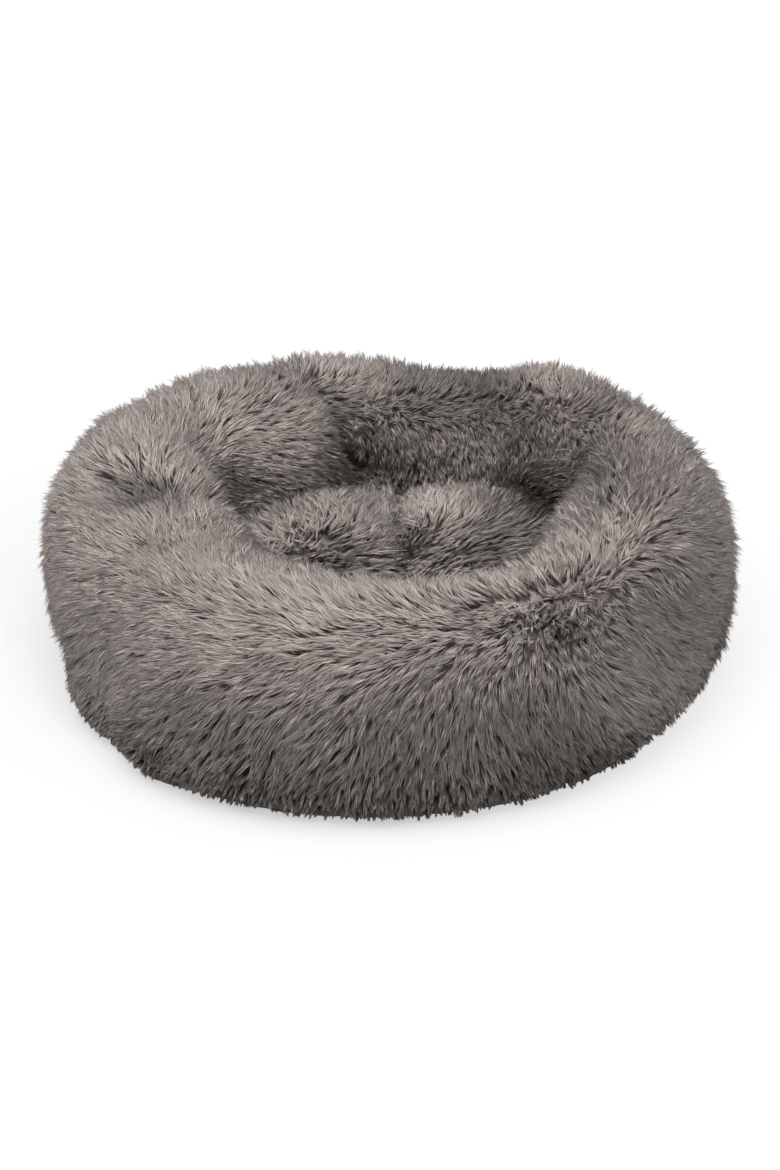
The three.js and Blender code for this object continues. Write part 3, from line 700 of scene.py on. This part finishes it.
def surface_samples(form, spacing, keep, seed):
    """Roots spread evenly over a form's surface where keep says so, with the normals there"""
    random = np.random.default_rng(seed)
    mesh = form.data
    mesh.calc_loop_triangles()
    corners = np.empty(len(mesh.loop_triangles) * 3, int)
    mesh.loop_triangles.foreach_get("vertices", corners)
    corners = corners.reshape(-1, 3)
    points, normals = points_of(form), normals_of(form)
    a, b, c = points[corners[:, 0]], points[corners[:, 1]], points[corners[:, 2]]
    area = np.linalg.norm(np.cross(b - a, c - a), axis=1) / 2
    count = int(area.sum() / spacing ** 2 * CANDIDATES_PER_LOCK)
    chosen = random.choice(len(area), size=count, p=area / area.sum())
    u, v = random.random(count), random.random(count)
    over = u + v > 1
    u[over], v[over] = 1 - u[over], 1 - v[over]
    share = np.stack([1 - u - v, u, v], 1)[:, :, None]
    roots = (points[corners[chosen]] * share).sum(1)
    outward = unit((normals[corners[chosen]] * share).sum(1))
    cells = np.floor(roots / spacing).astype(int)
    _, first = np.unique(cells, axis=0, return_index=True)
    first = first[keep(roots[first], outward[first])]
    return roots[first], outward[first]


def fur_piece(name, locks):
    """One mesh of locks. Each lock has a root, a normal, a comb direction, a length, a rise, a tone with
    its painted light and shade, how closely its strands cling together and how blunt they are."""
    roots, normals, ways, lengths, rises, tones_and_painted_light, cling, blunt = locks
    random = np.random.default_rng(len(roots))
    each = STRANDS_PER_LOCK
    count = len(roots) * each

    def repeated(values):
        return np.repeat(values, each, axis=0)

    root, normal, way = repeated(roots), repeated(normals), repeated(ways)
    side = np.cross(normal, way)
    close, dull = repeated(cling), repeated(blunt)
    turn = random.uniform(0, 2 * math.pi, count)
    reach = np.sqrt(random.random(count)) * LOCK_SPACING * (0.75 - 0.25 * close)
    offset = side * (reach * np.cos(turn))[:, None] + way * (reach * np.sin(turn))[:, None]
    size = repeated(random.uniform(0.85, 1.12, len(roots))) * random.uniform(0.7, 1.08, count)
    even = np.clip(1.25 - root[:, 2] / EVEN_HEIGHT, 0, 0.85)
    size += (EVEN_SIZE - size) * even
    length = (repeated(lengths) * size)[:, None]
    rise = (repeated(rises * random.uniform(0.8, 1.2, len(roots))) * size)[:, None]
    bend = random.normal(scale=0.05, size=(count, 1))
    bend = bend + repeated(random.normal(scale=0.12, size=(len(roots), 1)))
    width = (random.uniform(*STRAND_WIDTHS, count) * (1 + 0.35 * even))[:, None] * MM
    closing = random.uniform(0.0, 0.75, count) * (1 - close)
    closing = (closing + random.uniform(0.7, 1.0, count) * close)[:, None]
    fullest = random.uniform(*FULLEST_SLIM, count) * (1 - dull)
    fullest = (fullest + random.uniform(*FULLEST_BLUNT, count) * dull)[:, None]
    centres = []
    for share in (0 * fullest, fullest, 0 * fullest + 1):
        lift = rise * share ** 0.85 - (1 - share) * ROOT_DEPTH
        along = length * share ** 1.25
        sideways = side * length * bend * share ** 2
        centres.append(root + offset * (1 - closing * share) + normal * lift + way * along + sideways)
    forward = unit(centres[2] - centres[0])
    across = unit(np.cross(normal, forward)) * width / 2
    outward = np.cross(forward, across) * STRAND_DEPTH
    belly = [centres[1] - across, centres[1] + across, centres[1] + outward]
    strand_points = np.stack([centres[0], *belly, centres[2]], 1)
    strand_points[:, :, 2] = np.maximum(strand_points[:, :, 2], FLOOR_CLEARANCE)
    per_strand = strand_points.shape[1]
    faces = np.array([(0, 2, 1), (0, 3, 2), (0, 1, 3), (4, 1, 2), (4, 2, 3), (4, 3, 1)])
    corners = (faces[None] + (np.arange(count) * per_strand)[:, None, None]).reshape(-1)
    mesh = bpy.data.meshes.new(name)
    total = len(corners) // 3
    mesh.vertices.add(count * per_strand)
    mesh.vertices.foreach_set("co", strand_points.reshape(-1))
    mesh.loops.add(len(corners))
    mesh.loops.foreach_set("vertex_index", corners)
    mesh.polygons.add(total)
    mesh.polygons.foreach_set("loop_start", np.arange(total) * 3)
    mesh.polygons.foreach_set("use_smooth", np.ones(total, bool))
    mesh.update(calc_edges=True)
    own = repeated(random.normal(scale=0.07, size=len(roots)) * (1 + 2 * cling))
    own += random.normal(scale=0.1, size=count) * (1 + 0.6 * close)
    level = np.clip(repeated(tones_and_painted_light) + own, 0, 0.999)
    level = (np.floor(level * SHADE_STEPS) + 0.5) / SHADE_STEPS
    u = level[:, None] + np.array([[0.0, -0.3, 0.3, 0.0, 0.0]]) / SHADE_STEPS
    ring = fullest * (1 - 0.3 * close[:, None])
    # Locks painted lighter get paler roots, with less painted shade deep between their strands
    pale = 0.3 * np.clip((level[:, None] - 0.55) / 0.25, 0, 1)
    v = (pale + (1 - pale) * np.concatenate([0 * ring, ring, ring, ring, 0 * ring + 1], 1)) * 0.98 + 0.01
    uv = np.stack([u, v], 2).reshape(-1, 2)[corners]
    layer = mesh.uv_layers.new(name="OFBake")
    layer.data.foreach_set("uv", uv.ravel())
    piece = bpy.data.objects.new(name, mesh)
    bpy.context.collection.objects.link(piece)
    return piece


def add_fur_pieces(name, locks, material, node):
    """The locks in place of a node, in as many pieces as keep each mesh light enough"""
    limit = MOST_TRIANGLES // (STRAND_TRIANGLES * STRANDS_PER_LOCK)
    parts = math.ceil(len(locks[0]) / limit)
    for part in range(parts):
        suffix = f"_{part + 1}" if parts > 1 else ""
        piece = fur_piece(name + suffix, [values[part::parts] for values in locks])
        dress(piece, material, replaces=[node])


# The bolster's pile in millimetres: its length and how far it stands off the skin, and by how much
# each is less near the floor, on the inner side and on the back wall, and uneven
PILE, PILE_LOW, PILE_INSIDE, PILE_WALL, PILE_UNEVEN = 21, 8, 5, 4, 2.5
RISE, RISE_LOW, RISE_WALL, RISE_UNEVEN = 13.5, 4.5, 2, 2
WHORL_RISE = 3 * MM

# The middle of the back wall and half its width, in degrees round the bed
WALL_MIDDLE, WALL_HALF_WIDTH = 58, 50

# Where the bolster's section turns over its crest and down its inner side, in degrees
CREST_START, INNER_START = 42, 112

# Heights over which the pile is shorter, darker with painted shade, blunter and combed straighter
# towards the floor
SHORT_HEIGHT, PAINTED_SHADE_HEIGHT, BLUNT_HEIGHT = 95 * MM, 150 * MM, 80 * MM
STRAIGHT_HEIGHT, FLOOR_HEIGHT, CLING_HEIGHT = 45 * MM, 32 * MM, 25 * MM


def add_bolster_fur(form, material):
    points = points_of(form)

    def outside_seat(roots, normals):
        _, section, _ = ring_coordinates(roots, points)
        buried = (section > 140) & (roots[:, 2] < 78 * MM)
        return ~buried & (roots[:, 2] > 3.5 * MM) & (normals[:, 2] > -0.72)

    roots, normals = surface_samples(form, LOCK_SPACING, outside_seat, 11)
    height = roots[:, 2]
    around, section, radius = ring_coordinates(roots, points)
    out = np.stack([roots[:, 0], roots[:, 1], np.zeros(len(roots))], 1)
    sideways = unit(np.cross(np.array([0.0, 0, 1]), out))
    down_outer = unit(np.cross(sideways, normals))
    side_sign = np.tanh((88 - section) / 14)[:, None]
    resting = down_outer * side_sign + sideways * (0.45 * waves(roots, (0.15, 0.28), 3))[:, None]
    ways, upright, tousled = comb_directions(roots, normals, resting, BOLSTER_STROKES)
    swirl = np.random.default_rng(6).normal(size=len(roots))
    swirl = swirl * (0.16 + 1.3 * upright ** 2 + 0.3 * tousled)
    swirl += waves(roots, (0.035, 0.06), 5) * 0.26
    swirl += waves(roots, (0.018, 0.026), 4) * (0.15 + 0.4 * upright + 0.25 * tousled)
    swirl *= 1 - 0.7 * np.clip(1 - height / STRAIGHT_HEIGHT, 0, 1)
    ways = swung(ways, normals, swirl)
    low = np.clip(1 - height / SHORT_HEIGHT, 0, 1)
    inner = np.clip((section - 125) / 30, 0, 1)
    depth = fold_depths(around, section, radius, BOLSTER_FOLDS)
    short = 1 - 0.45 * np.clip(depth / (18 * MM), 0, 1)
    wall = inner * np.clip((WALL_HALF_WIDTH - np.abs(around - WALL_MIDDLE)) / 12, 0, 1)
    lengths = PILE - PILE_LOW * low - PILE_INSIDE * inner - PILE_WALL * wall
    lengths = (lengths + PILE_UNEVEN * waves(roots, (0.05, 0.09), 7)) * MM * short
    at_floor = np.clip(1 - height / FLOOR_HEIGHT, 0, 1)
    lengths *= (1 - 0.4 * upright) * (1 + 0.25 * tousled) * (1 - 0.4 * at_floor)
    rises = RISE - RISE_LOW * low - RISE_WALL * wall + RISE_UNEVEN * waves(roots, (0.04, 0.07), 8)
    rises = (rises * MM + WHORL_RISE * upright) * short
    front_top = np.clip(-roots[:, 1] / 0.1, 0, 1) * np.clip((height - 0.09) / 0.05, 0, 1) * (1 - tousled)
    rises *= 1 - 0.22 * front_top
    fall = -lengths * ways[:, 2] - rises * normals[:, 2]
    clear = np.clip((height - 1 * MM) / np.maximum(fall, 0.1 * MM), 0.1, 1)
    lengths, rises = lengths * clear, rises * clear
    # Painted shade: darker towards the floor, on the inner side and in the folds, with the painted
    # patches on top; a little lighter right at the floor, and a random tone over all
    painted_floor_shade = np.clip(1 - height / PAINTED_SHADE_HEIGHT, 0, 1) ** 1.3
    tones_and_painted_light = 0.70 - 0.80 * painted_floor_shade - 0.2 * inner + 0.1 * waves(roots, (0.03, 0.07, 0.2), 9)
    tones_and_painted_light += 0.12 * at_floor - 12 * np.clip(depth, 0, 0.02)
    tones_and_painted_light += patches_at(roots, normals, PAINTED_LIGHT_AND_SHADE_PATCHES)
    blunt = np.clip(1.3 - height / BLUNT_HEIGHT, 0, 1)
    cling = np.maximum(blunt * np.clip(height / CLING_HEIGHT, 0, 1), 0.8 * tousled)
    locks = (roots, normals, ways, lengths, rises, tones_and_painted_light, cling, blunt)
    bands = {"outer": section < CREST_START,
             "crest": (section >= CREST_START) & (section < INNER_START),
             "inner": section >= INNER_START}
    for panel, (start, end) in PANELS.items():
        here = (around - start) % 360 < (end - start) % 360
        for band, inside in bands.items():
            own = [values[here & inside] for values in locks]
            add_fur_pieces(f"fur_{panel}_{band}", own, material, f"fur_panel_{panel}")


# The seat's pile in millimetres, and where the crease between its mounds runs
SEAT_PILE, SEAT_PILE_UNEVEN, SEAT_RISE, SEAT_RISE_UNEVEN = 21, 3, 15, 2
CREASE_PLACE, CREASE_WIDTH = 8 * MM, 18 * MM


def add_seat_fur(form, material):
    def top(roots, normals):
        return (normals[:, 2] > 0.1) & (roots[:, 2] > SEAT_SEWN_HEIGHT)

    roots, normals = surface_samples(form, SEAT_LOCK_SPACING, top, 21)
    resting = np.zeros_like(normals)
    for x, y, _, _ in SEAT_SWELLS:
        away = roots[:, :2] - np.array([x, y])
        resting[:, :2] += away / (np.linalg.norm(away, axis=1)[:, None] ** 2 + 0.0004)
    ways, upright, tousled = comb_directions(roots, normals, resting, SEAT_STROKES)
    swirl = np.random.default_rng(26).normal(size=len(roots))
    swirl = swirl * (0.2 + 1.6 * upright ** 2 + 0.45 * tousled)
    swirl += waves(roots, (0.035, 0.06), 25) * 0.35
    swirl += waves(roots, (0.018, 0.026), 24) * (0.3 + 0.4 * upright)
    ways = swung(ways, normals, swirl)
    lengths = (SEAT_PILE + SEAT_PILE_UNEVEN * waves(roots, (0.05, 0.09), 27)) * MM
    lengths = lengths * (1 - 0.25 * upright) * (1 + 0.2 * tousled)
    rises = (SEAT_RISE + SEAT_RISE_UNEVEN * waves(roots, (0.04, 0.07), 28)) * MM + WHORL_RISE * upright
    crease = np.exp(-((roots[:, 0] - CREASE_PLACE) / CREASE_WIDTH) ** 2)
    # Painted shade darkens the crease between the mounds and painted light lightens the whorls, where
    # the pile stands up; a random tone and the painted patches go on top
    tones_and_painted_light = 0.57 + 0.12 * waves(roots, (0.03, 0.07), 29) - 0.05 * crease + 0.05 * upright
    tones_and_painted_light += patches_at(roots, normals, PAINTED_LIGHT_AND_SHADE_PATCHES)
    locks = (roots, normals, ways, lengths, rises, tones_and_painted_light, 0.25 + 0.6 * tousled, 0.3 * tousled)
    add_fur_pieces("fur_seat", locks, material, "seat_fur_panel")


# Backings: how thick the knitted cloth is, where the one under the bolster starts to turn in and how
# low it lies there, on the base's seam, and from what height the seat's one shows
BACKING_THICKNESS = 1.5 * MM
UNDERSIDE_START, UNDERSIDE = 22 * MM, 2.95 * MM
UNDERSIDE_PULL = 2.4
SEAT_BACKING_START = 45 * MM


def finished_backing(shell, material, node):
    shaped(shell, "SOLIDIFY", thickness=BACKING_THICKNESS, offset=-1)
    shade_smooth(shell)
    dress(shell, material, replaces=[node])


def cut_away(place, way):
    """A step of edit mode that takes off all that lies behind a plane"""
    plane = {"plane_co": place, "plane_no": way, "clear_inner": True, "threshold": MERGE_DISTANCE}
    return bpy.ops.mesh.bisect, plane


def add_backings(form, seat, material):
    """The knitted backing under the fur, as a shell for each panel, cut from the stuffed forms"""
    for panel, seams in PANELS.items():
        shell = copy_of(form, f"fur_backing_{panel}")
        points = points_of(shell)
        drawn_down = UNDERSIDE_START - UNDERSIDE_PULL * (UNDERSIDE_START - points[:, 2])
        points[:, 2] = np.minimum(points[:, 2], np.maximum(drawn_down, UNDERSIDE))
        place_points(shell, points)
        for angle, sign in zip(seams, (1, -1)):
            turn = math.radians(angle)
            edited(shell, cut_away((0, 0, 0), (-math.sin(turn) * sign, math.cos(turn) * sign, 0)))
        finished_backing(shell, material, f"fur_panel_{panel}")
    cover = edited(copy_of(seat, "seat_backing"), cut_away((0, 0, SEAT_BACKING_START), (0, 0, 1)))
    finished_backing(cover, material, "seat_fur_panel")


PILLOW_INSET = 3.5 * MM


def add_pillows(ring, material):
    """The stuffed pillows inside, blown up to fill their bags"""
    names = [f"bolster_pillow_{panel}" for panel in PANELS] + ["seat_pillow_left", "seat_pillow_right"]
    for node in names:
        pillow = copied_from(f"stuffed_{node}", node)
        remeshed(pillow, PILLOW_VOXEL)
        points = points_of(pillow)
        low = points[:, 2] < SEWN_HEIGHT
        inset = np.full(len(points), PILLOW_INSET)
        if node.startswith("bolster"):
            inset += np.maximum(fold_depths(*ring_coordinates(points, ring), BOLSTER_FOLDS), 0)
        points -= normals_of(pillow) * (inset * ~low)[:, None]
        place_points(pillow, points)
        plumped(pillow, 4 * MM, low)
        shaped(pillow, "SUBSURF", levels=1, render_levels=1)
        shade_smooth(pillow)
        dress(pillow, material, replaces=[node])


# The base: its cloth, with a thin gap to the floor, the hems along the zip, and the gathers at the rim
CLOTH_THICKNESS, FLOOR_GAP = 1.1 * MM, 0.1 * MM
HEM_WIDTH, HEM_TOP = 8 * MM, 5.1 * MM
HALF_SEAM, SEAM_TAPER = 0.2 * MM, 6 * MM
GATHER_DEPTH, GATHERS = 0.4 * MM, 58
STITCH_LENGTH, STITCH_WIDTH, STITCH_HEIGHT = 2.8 * MM, 0.7 * MM, 0.5 * MM
STITCH_PITCH, STITCH_MARGIN = 4 * MM, 6 * MM
SOFT_EDGE = 0.2 * MM


def zip_middle():
    """Where the zip runs across the bed, between its tapes"""
    return (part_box("zip_tape_front")[1][1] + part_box("zip_tape_rear")[0][1]) / 2


def base_cloth(side, sign):
    """One half of the base: cloth from the hem along the zip, or the seam beyond it, out to the seam
    round the rim, gathered a little there"""
    middle = zip_middle()
    edge = points_of(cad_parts[f"base_panel_{side}"]) - np.array([0, middle, 0])
    edge_turn = np.degrees(np.arctan2(edge[:, 1] * sign, edge[:, 0]))
    edge_radius = np.hypot(edge[:, 0], edge[:, 1])
    rim = edge_radius > 0.7 * edge_radius.max()
    order = np.argsort(edge_turn[rim])
    hem = np.abs(edge[edge[:, 2] > 3 * MM])
    opening_end, hem_start = hem[:, 0].max(), hem[:, 1].min()
    bpy.ops.object.select_all(action="DESELECT")
    bpy.ops.mesh.primitive_grid_add(x_subdivisions=96, y_subdivisions=30, size=2)
    sheet = bpy.context.object
    sheet.name = f"base_cloth_{side}"
    flat = points_of(sheet)
    turn = 90 - 90 * flat[:, 0]
    radius = np.interp(turn, edge_turn[rim][order], edge_radius[rim][order])
    outer = np.stack([radius * np.cos(np.radians(turn)), radius * np.sin(np.radians(turn))], 1)
    sewn_shut = np.clip((np.abs(outer[:, 0]) - opening_end) / SEAM_TAPER, 0, 1)
    straight_edge = hem_start + (HALF_SEAM - hem_start) * sewn_shut
    outer[:, 1] = np.maximum(outer[:, 1], straight_edge)
    inner = np.stack([outer[:, 0], straight_edge], 1)
    share = ((flat[:, 1:2] + 1) / 2) ** 1.5
    placed = inner + (outer - inner) * share
    gather = GATHER_DEPTH * (0.5 + 0.5 * np.sin(np.radians(turn) * GATHERS))
    height = CLOTH_THICKNESS + gather * np.clip((share[:, 0] - 0.85) / 0.15, 0, 1)
    place_points(sheet, np.stack([placed[:, 0], middle + placed[:, 1] * sign, height], 1))
    edited(sheet, (bpy.ops.mesh.remove_doubles, {"threshold": MERGE_DISTANCE}),
           (bpy.ops.mesh.dissolve_degenerate, {"threshold": MERGE_DISTANCE}),
           (bpy.ops.mesh.normals_make_consistent, {"inside": False}))
    if normals_of(sheet)[:, 2].mean() < 0:
        edited(sheet, (bpy.ops.mesh.flip_normals, {}))
    shaped(sheet, "SOLIDIFY", thickness=CLOTH_THICKNESS - FLOOR_GAP, offset=-1)
    points = points_of(sheet)
    in_hem = np.abs(points[:, 1] - middle) < hem_start + HEM_WIDTH
    in_hem &= (np.abs(points[:, 0]) < opening_end) & (points[:, 2] > CLOTH_THICKNESS / 2)
    points[in_hem, 2] = HEM_TOP
    place_points(sheet, points)
    shade_by_angle(sheet)
    return sheet, hem_start, opening_end


def hem_stitches(side, sign, hem_start, opening_end):
    """The row of stitches that holds a hem and its zip tape together"""
    bpy.ops.object.select_all(action="DESELECT")
    bpy.ops.mesh.primitive_cube_add(size=1, location=(0, 0, 0))
    row = bpy.context.object
    row.name = f"hem_stitches_{side}"
    count = int(2 * (opening_end - STITCH_MARGIN) / STITCH_PITCH)
    points = points_of(row) * np.array([STITCH_LENGTH, STITCH_WIDTH, STITCH_HEIGHT])
    row_place = zip_middle() + sign * (hem_start + HEM_WIDTH / 2)
    points += np.array([-(count - 1) / 2 * STITCH_PITCH, row_place, 0.3 * MM])
    place_points(row, points)
    shaped(row, "BEVEL", width=SOFT_EDGE, segments=2)
    shaped(row, "ARRAY", count=count, use_relative_offset=False, use_constant_offset=True,
           constant_offset_displace=(STITCH_PITCH, 0, 0))
    shade_smooth(row)
    return row


def paint(material, *nodes):
    """The finish of solids that stay as they are"""
    for node in nodes:
        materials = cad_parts[node].data.materials
        materials.clear()
        materials.append(material)


def finish_zip_and_base(cloth, tape, thread, metal, coil):
    for side, sign in (("front", -1), ("rear", 1)):
        sheet, hem_start, opening_end = base_cloth(side, sign)
        dress(sheet, cloth, replaces=[f"base_panel_{side}"])
        stitches = hem_stitches(side, sign, hem_start, opening_end)
        dress(stitches, thread)
        strip = copied_from(f"zip_tape_{side}_woven", f"zip_tape_{side}")
        shaped(strip, "BEVEL", width=SOFT_EDGE, segments=2)
        dress(strip, tape, replaces=[f"zip_tape_{side}"])
    binding = copied_from("base_binding_woven", "base_binding")
    dress(binding, tape, replaces=["base_binding"])
    paint(coil, "zip_teeth_front", "zip_teeth_rear")
    paint(metal, "zip_top_stop_front", "zip_top_stop_rear", "zip_bottom_stop")
    paint(metal, "zip_slider", "zip_pull_tab")


# Stage and light

def add_stage():
    """A pale floor that keeps the bed's shadow and turns to plain white away from it; it glows more to
    the right, painted light that lightens the shadow there
    """
    bpy.ops.mesh.primitive_plane_add(size=16, location=(0, 0, 0))
    floor = bpy.context.object
    floor.name = "pale_floor"
    finish = Finish("pale_floor", 0.9, specular=0.1)
    finish.shade(Base_Color=(0.6, 0.6, 0.6))
    rays = finish.node("ShaderNodeLightPath").link.node
    seen = Socket(finish, rays.outputs["Is Camera Ray"])
    x, y, _ = finish.split(finish.place())
    away = ((x * x + y * y - 0.16) * 2.5).clamped()
    glow = finish.node("ShaderNodeEmission", None, {"Color": (1.0, 1.0, 1.0), "Strength": 1.1})
    # Painted light: the floor glows more to the right, over the bed's shadow there
    painted_light_on_right = (x * 3).clamped() * 0.25
    share = seen * (away * (0.5 - painted_light_on_right) + 0.5 + painted_light_on_right)
    lit = Socket(finish, finish.shader.outputs[0])
    both = finish.node("ShaderNodeMixShader", None, {0: share, 1: lit, 2: glow})
    output = finish.tree.nodes["Material Output"]
    finish.tree.links.new(both.link, output.inputs["Surface"])
    floor.data.materials.append(finish.material)


def add_light():
    world = bpy.data.worlds.new("white_surroundings")
    bpy.context.scene.world = world
    world.use_nodes = True
    nodes, links = world.node_tree.nodes, world.node_tree.links
    background = nodes["Background"]
    background.inputs["Color"].default_value = (1, 1, 1, 1)
    rays = nodes.new("ShaderNodeLightPath")
    most = nodes.new("ShaderNodeMath")
    most.operation = "MAXIMUM"
    links.new(rays.outputs["Is Camera Ray"], most.inputs[0])
    links.new(rays.outputs["Is Glossy Ray"], most.inputs[1])
    strength = nodes.new("ShaderNodeMapRange")
    strength.inputs["To Min"].default_value = 0.38
    strength.inputs["To Max"].default_value = 1.0
    links.new(most.outputs[0], strength.inputs["Value"])
    links.new(strength.outputs["Result"], background.inputs["Strength"])
    # Name, place, turn, width in metres and watts
    softboxes = (("softbox_above", (-0.25, -0.75, 1.75), (0.4, -0.14, 0), 1.4, 45.5),
                 ("softbox_left", (-1.6, -0.1, 0.9), (0, -1.05, 0), 1.1, 5),
                 ("softbox_right", (1.6, 0.1, 0.9), (0, 1.05, 0), 1.1, 4))
    for name, place, turn, size, watts in softboxes:
        bpy.ops.object.light_add(type="AREA", location=place, rotation=turn)
        lamp = bpy.context.object
        lamp.name = name
        lamp.data.shape = "SQUARE"
        lamp.data.size = size
        lamp.data.energy = watts


def main():
    scene = bpy.context.scene
    scene.view_settings.view_transform = "Standard"
    add_camera()
    add_stage()
    add_light()
    pile = pile_finish()
    backing = cloth_finish("knitted_backing", BACKING_PAINTED_LIGHT, 900, painted_shade_colour=BACKING_PAINTED_SHADE)
    filling = cloth_finish("pillow_bag", FILLING, 700, sheen=0.0)
    base = cloth_finish("woven_base", BASE_CLOTH, 1000)
    tape = cloth_finish("woven_tape", TAPE_CLOTH, 1500)
    bolster = bolster_form()
    seat = seat_form()
    add_bolster_fur(bolster, pile)
    add_seat_fur(seat, pile)
    add_backings(bolster, seat, backing)
    add_pillows(points_of(bolster), filling)
    thread = cloth_finish("sewing_thread", THREAD, 2500)
    finish_zip_and_base(base, tape, thread, metal_finish(), coil_finish())
    bpy.data.objects.remove(bolster)
    bpy.data.objects.remove(seat)


main()
